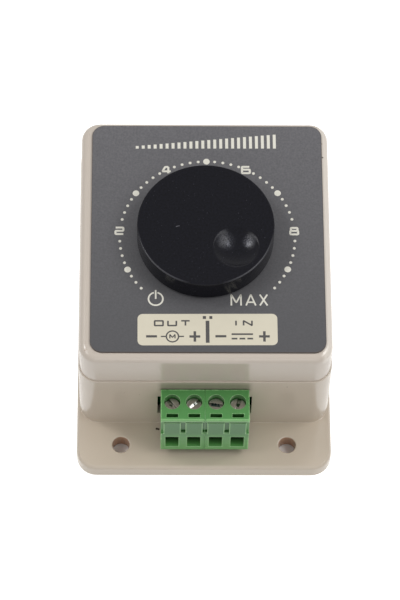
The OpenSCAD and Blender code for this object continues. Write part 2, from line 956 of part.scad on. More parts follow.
// Phenolic wafer that carries the carbon track
module track_wafer() {
    color([0.35, 0.2, 0.1])
        translate([0, 0, wafer_z])
            difference() {
                cylinder(r = wafer_r, h = wafer_t);
                translate([0, 0, -over])
                    cylinder(r = stub_hole_r, h = wafer_t + 2 * over);
            }
}

// Three terminals of the track, bent down to the board
module track_terminals() {
    track_z = wafer_z + wafer_t;
    color([0.8, 0.8, 0.8])
        for (l = [-1:1])
            translate([l * terminal_pitch, 0, 0]) {
                translate([0, -(terminal_out + wafer_r - terminal_w) / 2, track_z])
                    block(terminal_w, terminal_out - wafer_r + terminal_w, 0, terminal_t);
                translate([0, -terminal_out + terminal_t / 2, 0])
                    block(terminal_w, terminal_t, board_z - leg_below, track_z + terminal_t);
            }
}

// Can of the on-off switch below the dial
module switch_can() {
    color([0.16, 0.16, 0.17])
        difference() {
            translate([0, 0, board_top])
                cylinder(r = can_r, h = switch_can_h);
            translate([0, 0, board_top + wafer_t])
                cylinder(r = can_r - can_t, h = switch_can_h);
        }
}

// Spring blade that the cam pushes
module switch_blade() {
    color([0.85, 0.65, 0.3])
        translate([blade_x, 0, 0])
            block(blade_t, blade_w, board_top + wafer_t, cam_z + blade_h);
}

// Two terminals of the switch, through the board behind the can
module switch_terminals() {
    foot_top = board_top + wafer_t;
    color([0.8, 0.8, 0.8])
        for (l = [-1, 1])
            translate([l * terminal_pitch, 0, 0]) {
                translate([0, can_r + terminal_w, 0])
                    block(terminal_w, terminal_t, board_z - leg_below, foot_top);
                translate([0, can_r + terminal_w / 2, 0])
                    block(terminal_w, terminal_w + terminal_t, foot_top - terminal_t, foot_top);
            }
}

// Flat round knob with a finger dimple, a hub and a flatted bore
module control_knob() {
    hollow_r = knob_r - knob_rim_t;
    hollow_z = knob_top - knob_top_t;
    profile = [
        [0, hub_z], [hub_r, hub_z], [hub_r, hollow_z], [hollow_r, hollow_z], [hollow_r, knob_z],
        [knob_r, knob_z], [knob_r, knob_top - knob_edge_r], [knob_r - knob_edge_r, knob_top],
        [0, knob_top]
    ];
    color([0.09, 0.09, 0.1])
        difference() {
            rotate_extrude($fn = 96)
                union() {
                    polygon(profile);
                    translate([knob_r - knob_edge_r, knob_top - knob_edge_r])
                        circle(knob_edge_r);
                }
            difference() {
                translate([0, 0, hub_z - over])
                    cylinder(r = shaft_r + bite, h = shaft_top - hub_z + over + seat_gap);
                translate([2 * shaft_r - flat_depth + bite, 0, 0])
                    block(2 * shaft_r, 2 * shaft_r + over, hub_z - 2 * over, shaft_top + over);
            }
            rotate([0, 0, dimple_angle])
                translate([dimple_at, 0, knob_top + dimple_ball_r - dimple_depth])
                    sphere(r = dimple_ball_r, $fn = 96);
        }
}

// Shaft with a flat for the knob and a thin stub down to the switch
module dial_shaft() {
    color([0.8, 0.8, 0.8])
        difference() {
            union() {
                translate([0, 0, rotor_z + rotor_t])
                    cylinder(r = shaft_r, h = shaft_top - rotor_z - rotor_t);
                translate([0, 0, cam_z])
                    cylinder(r = stub_r, h = rotor_z + rotor_t - cam_z + over);
            }
            translate([2 * shaft_r - flat_depth, 0, 0])
                block(2 * shaft_r, 2 * shaft_r + over, flat_z, shaft_top + over);
            translate([0, 0, bushing_top + ring_gap])
                difference() {
                    cylinder(r = shaft_r + over, h = ring_t + bite);
                    translate([0, 0, -over])
                        cylinder(r = shaft_r - ring_groove, h = ring_t + 2 * over);
                }
        }
}

// Split ring in the shaft's groove that keeps it in the bushing
module shaft_ring() {
    color([0.5, 0.5, 0.52])
        translate([0, 0, bushing_top + ring_gap])
            difference() {
                cylinder(r = ring_r, h = ring_t);
                translate([0, 0, -over])
                    cylinder(r = shaft_r - ring_groove + bite, h = ring_t + 2 * over);
                translate([0, shaft_r, 0])
                    block(shaft_r, 2 * shaft_r, -over, ring_t + over);
            }
}

// Moulded disc on the shaft that carries the wiper
module wiper_disc() {
    color([0.9, 0.88, 0.8])
        translate([0, 0, rotor_z])
            difference() {
                cylinder(r = rotor_r, h = rotor_t);
                translate([0, 0, -over])
                    cylinder(r = stub_r + bite, h = rotor_t + 2 * over);
            }
}

// Sprung wiper from the disc down to the track
module wiper_spring() {
    color([0.85, 0.65, 0.3]) {
        translate([rotor_r * track_r_share, 0, 0])
            block(spring_w, spring_w * 2, rotor_z - spring_t, rotor_z);
        translate([rotor_r * track_r_share, spring_w - spring_t / 2, 0])
            block(spring_w, spring_t, wafer_z + wafer_t + spring_gap, rotor_z);
    }
}

// Cam on the stub that works the switch at the end of the turn
module switch_cam() {
    color([0.9, 0.88, 0.8])
        translate([0, 0, cam_z])
            difference() {
                union() {
                    cylinder(r = cam_r, h = cam_t);
                    translate([-cam_lobe_r / 2, 0, 0])
                        block(cam_lobe_r, cam_lobe_w, 0, cam_t);
                }
                translate([0, 0, -over])
                    cylinder(r = stub_r + bite, h = cam_t + 2 * over);
            }
}

// Green plug with a row of wells, one for each clamp
module plug_housing() {
    color([0.33, 0.58, 0.31])
        difference() {
            union() {
                translate([0, (plug_front + plug_back) / 2, 0])
                    block(plug_w, plug_back - plug_front, plug_z, plug_top);
                translate([0, (plug_back - over + nose_tip) / 2, 0])
                    block(nose_w, nose_tip - plug_back + over, nose_z, nose_z + nose_h);
            }
            for (i = [1:poles])
                translate([pole_x(i), 0, 0])
                    plug_pole_cuts();
            plug_relief();
        }
}

// What one pole takes out of the plug: well, bores, channel, wire hole, slot
module plug_pole_cuts() {
    well_d = cage_d + 2 * cage_gap;
    channel_h = sleeve_h + 2 * sleeve_gap;
    mouth_h = sleeve_h - sleeve_t;
    translate([0, screw_y, 0]) {
        block(cage_w + 2 * cage_gap, well_d, well_z, well_top);
        translate([0, 0, well_top - over])
            cylinder(r = thread_r + cage_gap, h = bridge_t + 2 * over);
        translate([0, 0, well_top + bridge_t])
            cylinder(r = screw_hole_r, h = plug_top - well_top);
    }
    translate([0, (screw_y + sleeve_tip + sleeve_gap) / 2, pin_z - channel_h / 2])
        block(sleeve_w + 2 * sleeve_gap, sleeve_tip + sleeve_gap - screw_y, 0, channel_h);
    translate([0, nose_tip, pin_z - mouth_h / 2])
        block(sleeve_w - sleeve_t, 2 * nose_wall_t + over, 0, mouth_h);
    translate([0, (plug_front - over + screw_y) / 2, 0])
        block(wire_w, screw_y - plug_front + over, wire_z, wire_z + wire_h);
    translate([0, plug_front + slot_front + slot_t / 2, 0])
        block(slot_w, slot_t, plug_top - slot_depth, plug_top + over);
}

// Relief on the plug's front: sunk strips between and over raised blocks
module plug_relief() {
    difference() {
        translate([0, plug_front, 0])
            block(plug_w + over, 2 * relief_d, block_z, block_top);
        for (i = [1:poles])
            translate([pole_x(i), plug_front, 0])
                block(block_w, 4 * relief_d, block_z - over, block_top + over);
    }
    for (i = [1:poles])
        translate([pole_x(i), plug_front, 0])
            block(block_w, 2 * line_d, block_top - line_h, block_top);
    for (i = [1:poles - 1])
        translate([pole_x(i) + pitch / 2, plug_front, 0])
            block(pitch - block_w, 2 * (relief_d + notch_d), block_z, block_z + notch_h);
    translate([0, (plug_front + plug_back) / 2, 0])
        block(seam, plug_back - plug_front + over, plug_top - seam, plug_top + over);
    translate([0, plug_front, 0])
        block(seam, 2 * seam, plug_z - over, plug_top + over);
    translate([0, plug_front, plug_top])
        rotate([45, 0, 0])
            block(plug_w + over, 2 * chamfer, -chamfer, chamfer);
}

// Current bars under the screws, each ending in a sleeve for its pin
module plug_contacts() {
    bar_y0 = screw_y - cage_d / 2;
    bar_y1 = sleeve_y + sleeve_lap;
    color([0.8, 0.78, 0.7])
        for (i = [1:poles])
            translate([pole_x(i), 0, 0]) {
                translate([0, (bar_y0 + bar_y1) / 2, 0])
                    block(bar_w, bar_y1 - bar_y0, bar_z, bar_z + bar_t);
                translate([0, sleeve_tip - sleeve_len / 2, pin_z - sleeve_h / 2])
                    difference() {
                        block(sleeve_w, sleeve_len, 0, sleeve_h);
                        block(sleeve_w - 2 * sleeve_t, sleeve_len + over, sleeve_t, sleeve_h - sleeve_t);
                    }
            }
}

// Slotted clamp screw of pole i, its slot left where the photograph shows it
module clamp_screw(i) {
    head_top = screw_seat + screw_head_h;
    color([0.72, 0.71, 0.68])
        translate([pole_x(i), screw_y, 0])
            difference() {
                union() {
                    translate([0, 0, screw_seat])
                        cylinder(r = screw_head_r, h = screw_head_h);
                    translate([0, 0, screw_tip])
                        cylinder(r = thread_r, h = screw_seat - screw_tip);
                }
                translate([0, 0, head_top - screw_slot_d])
                    rotate([0, 0, screw_angles[i - 1]])
                        block(2 * screw_head_r + over, screw_slot_w, 0, screw_slot_d + over);
            }
}

// Steel cage of pole i that the screw draws up against the current bar
module clamp_cage(i) {
    window_w = cage_w - 2 * cage_side_t;
    color([0.75, 0.74, 0.7])
        translate([pole_x(i), screw_y, cage_z])
            difference() {
                block(cage_w, cage_d, 0, cage_h);
                block(window_w, cage_d + over, cage_floor_t, cage_h - cage_top_t);
                translate([0, 0, cage_h - cage_top_t - over])
                    cylinder(r = thread_r + shaft_clear, h = cage_top_t + 2 * over);
            }
}

base_shell();
cover_shell();
label_plate();
case_screws();
circuit_board();
board_screws();
terminal_socket();
socket_pins();
heat_sink();
insulating_pads();
transistor_bodies();
transistor_tabs();
diode_body();
diode_tab();
heat_sink_screws();
main_capacitors();
capacitor_legs();
control_chip();
chip_pins();
resistors();
resistor_leads();
disc_capacitors();
disc_capacitor_legs();
regulator();
regulator_legs();
dial_can();
dial_bushing();
track_wafer();
track_terminals();
switch_can();
switch_blade();
switch_terminals();
control_knob();
dial_shaft();
shaft_ring();
wiper_disc();
wiper_spring();
switch_cam();
plug_housing();
plug_contacts();
clamp_screw(1);  // clamp_screw_1
clamp_screw(2);  // clamp_screw_2
clamp_screw(3);  // clamp_screw_3
clamp_screw(4);  // clamp_screw_4
clamp_cage(1);  // clamp_cage_1
clamp_cage(2);  // clamp_cage_2
clamp_cage(3);  // clamp_cage_3
clamp_cage(4);  // clamp_cage_4
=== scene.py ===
import json
import math

import bmesh
import bpy
import numpy as np
from mathutils import Matrix, Vector


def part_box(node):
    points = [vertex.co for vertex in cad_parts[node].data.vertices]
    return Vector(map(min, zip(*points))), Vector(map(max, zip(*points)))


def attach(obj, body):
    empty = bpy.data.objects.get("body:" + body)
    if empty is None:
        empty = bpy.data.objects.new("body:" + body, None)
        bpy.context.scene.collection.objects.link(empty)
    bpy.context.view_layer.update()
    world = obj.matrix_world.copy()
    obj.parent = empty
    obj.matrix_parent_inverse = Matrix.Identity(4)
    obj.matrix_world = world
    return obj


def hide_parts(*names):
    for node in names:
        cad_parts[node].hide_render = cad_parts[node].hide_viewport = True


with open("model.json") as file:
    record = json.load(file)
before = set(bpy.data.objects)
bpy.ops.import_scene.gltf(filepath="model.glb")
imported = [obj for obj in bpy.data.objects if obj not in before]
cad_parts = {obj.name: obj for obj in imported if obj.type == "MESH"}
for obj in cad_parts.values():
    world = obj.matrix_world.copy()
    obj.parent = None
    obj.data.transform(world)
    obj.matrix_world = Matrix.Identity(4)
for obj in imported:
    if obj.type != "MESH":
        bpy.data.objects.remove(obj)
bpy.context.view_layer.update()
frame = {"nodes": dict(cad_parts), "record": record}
mm = 0.001

# The camera: a long lens well above the controller's front, almost square to it and turned a little
# clockwise. Its place is given by the point that it looks at, a distance, and two angles.
aim = Vector((-0.96, -5.03, 15)) * mm
camera_distance = 760.3 * mm
camera_elevation = math.radians(62.268)
camera_azimuth = math.radians(-1.880)
camera_roll = math.radians(1.833)
focal_pixels = 3197
frame_height_pixels = 600
sensor_size = 36

towards_camera = Vector((
    math.sin(camera_azimuth) * math.cos(camera_elevation),
    -math.cos(camera_azimuth) * math.cos(camera_elevation),
    math.sin(camera_elevation),
))
level = Vector((math.cos(camera_azimuth), math.sin(camera_azimuth), 0))
upright = towards_camera.cross(level)
camera_right = math.cos(camera_roll) * level + math.sin(camera_roll) * upright
camera_up = math.cos(camera_roll) * upright - math.sin(camera_roll) * level

camera_data = bpy.data.cameras.new("camera")
camera_data.sensor_width = sensor_size
camera_data.lens = focal_pixels * sensor_size / frame_height_pixels
camera_data.clip_start = 0.05
camera_data.clip_end = 10
camera = bpy.data.objects.new("camera", camera_data)
camera.matrix_world = (
    Matrix.Translation(aim + towards_camera * camera_distance)
    @ Matrix((camera_right, camera_up, towards_camera)).transposed().to_4x4()
)
bpy.context.scene.collection.objects.link(camera)
bpy.context.scene.camera = camera

# The studio: a white table and a white room, as the eye and the gloss see them, three large soft lamps
# and two small ones. The table takes the controller's shadow. Its glow is for the camera and for
# reflections only, and is dimmed below the controller, where no light gets.
bpy.context.scene.view_settings.view_transform = "Standard"
table_size = 6
table_drop = 0.05 * mm
table_white, table_glow = (0.82, 0.81, 0.79, 1), 0.72
room_light = 0.34
lamps = {
    "lamp_left": ((-0.46, 0.04, 0.60), (0.54, 0.20), 1.42),
    "lamp_right": ((0.47, -0.03, 0.60), (0.60, 0.20), 1.72),
    "small_left": ((-0.40, 0.16, 0.61), (0.10, 0.10), 0.46),
    "small_right": ((0.34, 0.01, 0.67), (0.22, 0.08), 0.56),
    "lamp_front": ((0.04, -0.80, 0.40), (0.60, 0.36), 0.86),
}
footprint = (26 * mm, 41 * mm)
covered_glow = 0.055


def calculate(operation, first, second=None):
    """One step of arithmetic on one value, or on a value and a number or another value, in the material
    that the first value is from."""
    tree = first.id_data
    step = tree.nodes.new("ShaderNodeMath")
    step.operation = operation
    tree.links.new(first, step.inputs[0])
    if isinstance(second, (int, float)):
        step.inputs[1].default_value = second
    elif second is not None:
        tree.links.new(second, step.inputs[1])
    return step.outputs[0]


def product(first, *others):
    """Values multiplied together, where the others may be plain numbers."""
    for other in others:
        first = calculate("MULTIPLY", first, other)
    return first


def own_axes(material):
    """The object's own x, y and z as three separate values."""
    nodes, links = material.node_tree.nodes, material.node_tree.links
    axes = nodes.new("ShaderNodeSeparateXYZ")
    links.new(nodes.new("ShaderNodeTexCoord").outputs["Object"], axes.inputs["Vector"])
    return axes.outputs


def seen_not_lit(owner):
    """One where a ray comes from the camera, a mirror reflection or through glass, nought elsewhere."""
    ray = owner.node_tree.nodes.new("ShaderNodeLightPath").outputs
    seen = calculate("MAXIMUM", ray["Is Camera Ray"], ray["Is Glossy Ray"])
    return calculate("MAXIMUM", seen, ray["Is Transmission Ray"])


def spread(value, low, high=1):
    """A value from nought to one, spread out from low to high."""
    wider = value.id_data.nodes.new("ShaderNodeMapRange")
    wider.inputs["To Min"].default_value = low
    wider.inputs["To Max"].default_value = high
    value.id_data.links.new(value, wider.inputs["Value"])
    return wider.outputs["Result"]


room = bpy.data.worlds.new("room")
room.use_nodes = True
white_air = room.node_tree.nodes["Background"]
white_air.inputs["Color"].default_value = (1, 1, 1, 1)
room.node_tree.links.new(spread(seen_not_lit(room), room_light), white_air.inputs["Strength"])
bpy.context.scene.world = room

table_finish = bpy.data.materials.new("white_table")
table_finish.use_nodes = True
table_nodes, table_links = table_finish.node_tree.nodes, table_finish.node_tree.links
table_nodes.remove(table_nodes["Principled BSDF"])
matt_white = table_nodes.new("ShaderNodeBsdfDiffuse")
matt_white.inputs["Color"].default_value = table_white
glow = table_nodes.new("ShaderNodeEmission")
table_x, table_y, _ = own_axes(table_finish)
past_side, past_end = [calculate("GREATER_THAN", calculate("ABSOLUTE", axis), reach)
                       for axis, reach in zip((table_x, table_y), footprint)]
open_table = spread(calculate("MAXIMUM", past_side, past_end), covered_glow)
table_links.new(product(seen_not_lit(table_finish), table_glow, open_table), glow.inputs["Strength"])
both = table_nodes.new("ShaderNodeAddShader")
table_links.new(matt_white.outputs[0], both.inputs[0])
table_links.new(glow.outputs[0], both.inputs[1])
table_links.new(both.outputs[0], table_nodes["Material Output"].inputs["Surface"])

table_mesh = bpy.data.meshes.new("table")
half_table = table_size / 2
table_mesh.from_pydata(
    [(x, y, -table_drop) for x, y in ((-half_table, -half_table), (half_table, -half_table),
                                      (half_table, half_table), (-half_table, half_table))],
    [], [(0, 1, 2, 3)])
table_mesh.materials.append(table_finish)
table = bpy.data.objects.new("table", table_mesh)
bpy.context.scene.collection.objects.link(table)

for lamp_name, (place, (along, across), power) in lamps.items():
    lamp_data = bpy.data.lights.new(lamp_name, "AREA")
    lamp_data.shape = "RECTANGLE"
    lamp_data.size = along
    lamp_data.size_y = across
    lamp_data.energy = power
    lamp = bpy.data.objects.new(lamp_name, lamp_data)
    lamp.location = place
    lamp.rotation_mode = "QUATERNION"
    lamp.rotation_quaternion = (aim - lamp.location).to_track_quat("-Z", "Y")
    bpy.context.scene.collection.objects.link(lamp)

# The base: one moulding of warm grey gloss plastic, open at the top, with a flange front and back. Its
# wall ends in a thin lip that the cover drops over, and its front is cut away for the socket. The cover
# shares its plastic, whose right shoulder has a painted highlight, and which has a few small marks and
# chips.
case_colour, cover_tint, flange_tint = (197, 185, 170), (201, 190, 178), (200, 187, 170)
base_low, base_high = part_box("base_shell")
cover_low, cover_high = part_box("cover_shell")
socket_low, socket_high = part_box("terminal_socket")
flange_width, flange_depth = base_high.x - base_low.x, base_high.y - base_low.y
flange_height = 4 * mm
flange_corner = 4.7 * mm
flange_round = 0.9 * mm
foot_round = 0.12 * mm
wall_step = 0.3 * mm
wall_width = cover_high.x - cover_low.x + 2 * wall_step
wall_depth = cover_high.y - cover_low.y + 2 * wall_step
wall_corner = 4.6 * mm
wall = 2.2 * mm
lip = 0.9 * mm
lip_height = 1.4 * mm
rim_round = 0.2 * mm
joint_height = base_high.z - lip_height
floor_height = 2.4 * mm
inner_corner = 2.4 * mm
crisp_from = math.radians(32)
speck_soft = 0.03


def linear(red, green, blue):
    """A colour as it is mixed by eye, 0 to 255, turned into amounts of light."""
    share = np.array((red, green, blue)) / 255
    return (*np.where(share < 0.04045, share / 12.92, ((share + 0.055) / 1.055) ** 2.4), 1)


def round_edge(radius, steps=5):
    """Quarter circle from a side up to a top: how far in it has come, radius (1 - cos turn), and how
    far below the top it is, radius (1 - sin turn)."""
    turn = np.linspace(0, math.pi / 2, steps + 1)
    return radius * (1 - np.cos(turn)), radius * (1 - np.sin(turn))


def outline_rings(width, depth, corner, height, steps=9):
    """Stack of rounded rectangles as a grid: row v is one outline, column u a place on it.

    A place is a corner circle's centre, one corner radius in from two sides, plus that radius turned by
    the place's angle. The four corners follow each other anticlockwise, and the sides join them.
    """
    width, depth, corner, height = np.broadcast_arrays(
        *(np.asarray(size, float)[..., None] for size in (width, depth, corner, height)))
    quarter = np.linspace(0, math.pi / 2, steps + 1)
    angle = (np.arange(4)[:, None] * math.pi / 2 + quarter).ravel()
    side_x = np.repeat((1, -1, -1, 1), steps + 1)
    side_y = np.repeat((1, 1, -1, -1), steps + 1)
    x = side_x * (width / 2 - corner) + corner * np.cos(angle)
    y = side_y * (depth / 2 - corner) + corner * np.sin(angle)
    return np.stack([x, y, np.broadcast_to(height, x.shape)], axis=-1)


def inset(size, inwards, height):
    """Sizes of outlines drawn in from a width, a depth and a corner, each at its height."""
    width, depth, corner = size
    return np.column_stack(np.broadcast_arrays(
        width - 2 * inwards, depth - 2 * inwards, corner - inwards, height))


def circle_rings(radius, height, centre=(0, 0), steps=64):
    """Stack of circles as a grid: row v has a radius and a height, and column u is an angle."""
    angle = np.arange(steps) * 2 * math.pi / steps
    radius, height = np.asarray(radius, float)[:, None], np.asarray(height, float)[:, None]
    x = centre[0] + radius * np.cos(angle)
    y = centre[1] + radius * np.sin(angle)
    return np.stack([x, y, np.broadcast_to(height, x.shape)], axis=-1)


def pillar(radius, foot, top, centre=(0, 0), steps=64):
    """The two circles of an upright round bar."""
    return circle_rings((radius, radius), (foot, top), centre, steps)


def ring_faces(rows, columns):
    """Corner numbers of the faces between neighbouring rings, and of the flat caps on the end rings."""
    u = np.arange(columns)
    v = np.arange(rows - 1)[:, None] * columns
    right = (u + 1) % columns
    above_v = v + columns
    sides = np.stack(np.broadcast_arrays(v + u, v + right, above_v + right, above_v + u), axis=-1)
    caps = [u[::-1].tolist(), ((rows - 1) * columns + u).tolist()]
    return sides.reshape(-1, 4).tolist(), caps


def closed_skin(name, *stacks):
    """One mesh object of one or more stacks of rings, each closed with a flat cap at both ends."""
    points, faces, first = [], [], 0
    for rings in stacks:
        rows, columns = rings.shape[:2]
        sides, caps = ring_faces(rows, columns)
        faces += [[corner + first for corner in face] for face in sides + caps]
        points.append(rings.reshape(-1, 3))
        first += rows * columns
    mesh = bpy.data.meshes.new(name)
    mesh.from_pydata(np.concatenate(points).tolist(), [], faces)
    piece = bpy.data.objects.new(name, mesh)
    bpy.context.scene.collection.objects.link(piece)
    return piece


def carve(piece, tool, operation="DIFFERENCE"):
    """Cuts the tool out of the piece, or joins it on, and clears the tool away."""
    cut = piece.modifiers.new("cut", "BOOLEAN")
    cut.operation = operation
    cut.solver = "EXACT"
    cut.object = tool
    carved = bpy.data.meshes.new_from_object(piece.evaluated_get(bpy.context.evaluated_depsgraph_get()))
    piece.modifiers.clear()
    carved.name = piece.name
    piece.data = carved
    bpy.data.objects.remove(tool)


def smooth(piece):
    """Smooth shading over the rounds, crisp edges past an angle, and flat faces kept flat."""
    piece.data.shade_smooth()
    piece.data.set_sharp_from_angle(angle=crisp_from)
    weigh = piece.modifiers.new("flat faces stay flat", "WEIGHTED_NORMAL")
    weigh.keep_sharp = True


def finish_of(piece, material, slot, body, *nodes):
    """Gives a piece its material, seats it on its body, and hides the nodes it stands for. The slot is
    not used.
    """
    piece.data.materials.clear()
    piece.data.materials.append(material)
    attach(piece, body)
    if nodes:
        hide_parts(*nodes)


def noise(material, size, detail=2, place=None):
    """Soft clouds from nought to one, of about the given size, on the object's own place."""
    nodes, links = material.node_tree.nodes, material.node_tree.links
    clouds = nodes.new("ShaderNodeTexNoise")
    clouds.inputs["Scale"].default_value = 1 / size
    clouds.inputs["Detail"].default_value = detail
    links.new(place or nodes.new("ShaderNodeTexCoord").outputs["Object"], clouds.inputs["Vector"])
    return clouds.outputs["Fac"]


def blended(first, second, factor):
    """The first colour where the factor is nought and the second where it is one. A colour is a value
    of the material, or plain amounts of light."""
    nodes, links = factor.id_data.nodes, factor.id_data.links
    blend = nodes.new("ShaderNodeMix")
    blend.data_type = "RGBA"
    for side, colour in (("A", first), ("B", second)):
        if isinstance(colour, bpy.types.NodeSocket):
            links.new(colour, blend.inputs[side])
        else:
            blend.inputs[side].default_value = (*colour[:3], 1)
    links.new(factor, blend.inputs["Factor"])
    return blend.outputs["Result"]


def above(value, level, softness):
    """Nought where the value is below the level, one above it, or the other way round where the
    softness of the step between is negative."""
    step = value.id_data.nodes.new("ShaderNodeMapRange")
    step.inputs["From Min"].default_value = level - softness / 2
    step.inputs["From Max"].default_value = level + softness / 2
    value.id_data.links.new(value, step.inputs["Value"])
    return step.outputs["Result"]


def painted_over(material, colour, factor):
    """Puts another colour over the material's, as far as the factor says."""
    skin_colour = material.node_tree.nodes["Principled BSDF"].inputs["Base Color"]
    below = skin_colour.links[0].from_socket
    material.node_tree.links.new(blended(below, linear(*colour), factor), skin_colour)


def skinned(name, colour, shares):
    """A new material, its shader's sockets, and its colour made darker and brighter by two shares."""
    material = bpy.data.materials.new(name)
    material.use_nodes = True
    skin = material.node_tree.nodes["Principled BSDF"].inputs
    light = np.array(linear(*colour)[:3])
    return material, skin, [light * share for share in shares]


def grained(material, fine, roughness, share, relief):
    """Spreads the roughness by a share to either side, and dents the skin, as a fine noise says."""
    nodes, links = material.node_tree.nodes, material.node_tree.links
    skin = nodes["Principled BSDF"].inputs
    links.new(spread(fine, roughness * (1 - share), roughness * (1 + share)), skin["Roughness"])
    dents = nodes.new("ShaderNodeBump")
    dents.inputs["Distance"].default_value = relief
    links.new(fine, dents.inputs["Height"])
    links.new(dents.outputs["Normal"], skin["Normal"])


def moulded(name, colour, roughness, shade=0.04, blotch=6 * mm, grain=0.25 * mm, relief=0.004 * mm,
            specular=0.5, specks=None):
    """Moulded plastic, from three noises on the object's own place.

    A slow noise shades the colour a little darker and lighter, a fine one spreads the gloss and dents
    the skin very slightly, and where a third is at its very peak there is a speck of another colour.
    """
    material, skin, shades = skinned(name, colour, (1 - 2 * shade, 1 + 2 * shade))
    skin["Specular IOR Level"].default_value = specular
    material.node_tree.links.new(blended(*shades, noise(material, blotch, 3)), skin["Base Color"])
    if specks:
        speck_colour, speck_size, speck_level = specks
        peak = above(noise(material, speck_size, 0), speck_level + speck_soft / 2, speck_soft)
        painted_over(material, speck_colour, peak)
    grained(material, noise(material, grain), roughness, 0.2, relief)
    return material


def painted_where(material, colour, *limits, strength=1):
    """Puts a colour over the material's where each value is past its level, softly. A limit is a value,
    a level and a softness, as for above."""
    past_all = product(*[above(*limit) for limit in limits])
    painted_over(material, colour, past_all if strength == 1 else product(past_all, strength))


def distance(*offsets):
    """The root of the sum of the offsets' squares."""
    total, *others = [product(offset, offset) for offset in offsets]
    for square in others:
        total = calculate("ADD", total, square)
    return calculate("SQRT", total)


def near(material, place, reach, softness):
    """One within reach of a place on the object and nought past it, where None leaves an axis out."""
    offsets = [calculate("SUBTRACT", axis, middle)
               for axis, middle in zip(own_axes(material), place) if middle is not None]
    return above(distance(*offsets), reach, -softness)


case_plastic = moulded("case_plastic", case_colour, 0.19, shade=0.015, grain=0.6 * mm,
                       relief=0.002 * mm, specks=((96, 84, 74), 0.5 * mm, 0.885))

under_in, under_up = (part[::-1] for part in round_edge(rim_round, 3))
edge_in, edge_down = round_edge(flange_round)
foot_up, foot_out = round_edge(foot_round, 3)
rim_in, rim_down = round_edge(rim_round, 3)
lip_in = wall - lip
flange_size = (flange_width, flange_depth, flange_corner)
wall_size = (wall_width, wall_depth, wall_corner)
flange_rows = inset(flange_size, edge_in, flange_height - edge_down)
least_ledge = 0.02 * mm
flange_rows[:, 0] = np.maximum(flange_rows[:, 0], wall_width + 2 * foot_round + least_ledge)
base_rows = np.vstack([
    inset(flange_size, under_in, under_up),
    flange_rows,
    inset(wall_size, -foot_out, flange_height + foot_up),
    inset(wall_size, rim_in, joint_height - rim_down),
    inset(wall_size, lip_in, joint_height),
    inset(wall_size, lip_in, base_high.z),
    (wall_width - 2 * wall, wall_depth - 2 * wall, inner_corner, base_high.z),
    (wall_width - 2 * wall, wall_depth - 2 * wall, inner_corner, floor_height),
])
base = closed_skin("case_base", outline_rings(*base_rows.T))

case_x, case_y, case_z = own_axes(case_plastic)
shoulder_painted_light, shoulder_from, shoulder_below = (226, 217, 206), 26.9 * mm, 2.4 * mm
painted_where(case_plastic, cover_tint, (case_z, joint_height, 0.1 * mm))
painted_where(case_plastic, flange_tint, (case_z, flange_height + mm, -mm))
# Painted highlight: the cover's right shoulder is paler, where the light falls on it from the right.
painted_where(case_plastic, shoulder_painted_light, (case_x, shoulder_from, 0.8 * mm),
              (case_z, cover_high.z - shoulder_below, 1.6 * mm))
case_marks = {
    "on the flange": ((-11.15 * mm, -33.7 * mm, None), 0.28 * mm, (54, 42, 34)),
    "beside it": ((-10.75 * mm, -33.8 * mm, None), 0.26 * mm, (66, 54, 44)),
    "on the wall": ((19 * mm, None, 23 * mm), 0.12 * mm, (110, 98, 86)),
    "first chip beside the label": ((27.62 * mm, 25.76 * mm, None), 0.13 * mm, (92, 78, 68)),
    "second chip beside the label": ((27.8 * mm, 22.04 * mm, None), 0.17 * mm, (58, 44, 36)),
    "on the cover's corner": ((-27.6 * mm, -28.95 * mm, None), 0.2 * mm, (150, 124, 98)),
}
mark_soft = 0.16 * mm
for mark_place, mark_reach, mark_colour in case_marks.values():
    painted_over(case_plastic, mark_colour, near(case_plastic, mark_place, mark_reach, mark_soft))

column_places = [(x * 23.6 * mm, y * 26.15 * mm) for x in (-1, 1) for y in (-1, 1)]
board_low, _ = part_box("circuit_board")
boss_places = [(x * 22.88 * mm, y * 17.49 * mm) for x in (-1, 1) for y in (-1, 1)]
column_radius, column_top = 3.7 * mm, 14 * mm
boss_radius = 3 * mm
buried = 0.6 * mm
buried_foot = floor_height - buried
stand_offs = [pillar(column_radius, buried_foot, column_top, place) for place in column_places]
stand_offs += [pillar(boss_radius, buried_foot, board_low.z, place) for place in boss_places]
carve(base, closed_skin("stand_offs", *stand_offs), "UNION")

mounts = frame["record"]["mounts"]
hole_pattern = next(mount["dims"] for mount in mounts if mount["kind"] == "bolt_pattern")
hole_x, hole_y = hole_pattern["spacing_x_mm"] / 2 * mm, hole_pattern["spacing_y_mm"] / 2 * mm
hole_radius = hole_pattern["hole_r_mm"] * mm
hole_round = 0.3 * mm
# Painted shade: the inside of each mounting hole is a darker warm brown.
hole_painted_shade, brown_width, brown_soft = (186, 150, 122), 0.05 * mm, 0.12 * mm
from_hole = distance(*[calculate("SUBTRACT", calculate("ABSOLUTE", axis), middle)
                       for axis, middle in ((case_x, hole_x), (case_y, hole_y))])
painted_where(case_plastic, hole_painted_shade, (from_hole, hole_radius + brown_width, -brown_soft))
past = 1 * mm
hole_in, hole_down = round_edge(hole_round, 4)
hole_radii = hole_radius + np.concatenate([[hole_round], hole_in[::-1], hole_in, [hole_round]])
hole_heights = np.concatenate([
    [-past], hole_down[::-1], flange_height - hole_down, [flange_height + past]])
counterbore_radius, counterbore_height = 3.1 * mm, 2.6 * mm
through_radius = 1.7 * mm
bores = [circle_rings(hole_radii, hole_heights, (x, y))
         for x in (-hole_x, hole_x) for y in (-hole_y, hole_y)]
bores += [circle_rings((counterbore_radius, counterbore_radius, through_radius, through_radius),
                       (-past, counterbore_height, counterbore_height, column_top + past), place)
          for place in column_places]
boss_bore_radius, boss_bore_foot = 1.48 * mm, 3.24 * mm
bores += [pillar(boss_bore_radius, boss_bore_foot, board_low.z + past, place) for place in boss_places]
opening_side, opening_below, opening_above, opening_corner = 0.75 * mm, 0.25 * mm, 0.25 * mm, 0.2 * mm
opening_width = socket_high.x - socket_low.x + 2 * opening_side
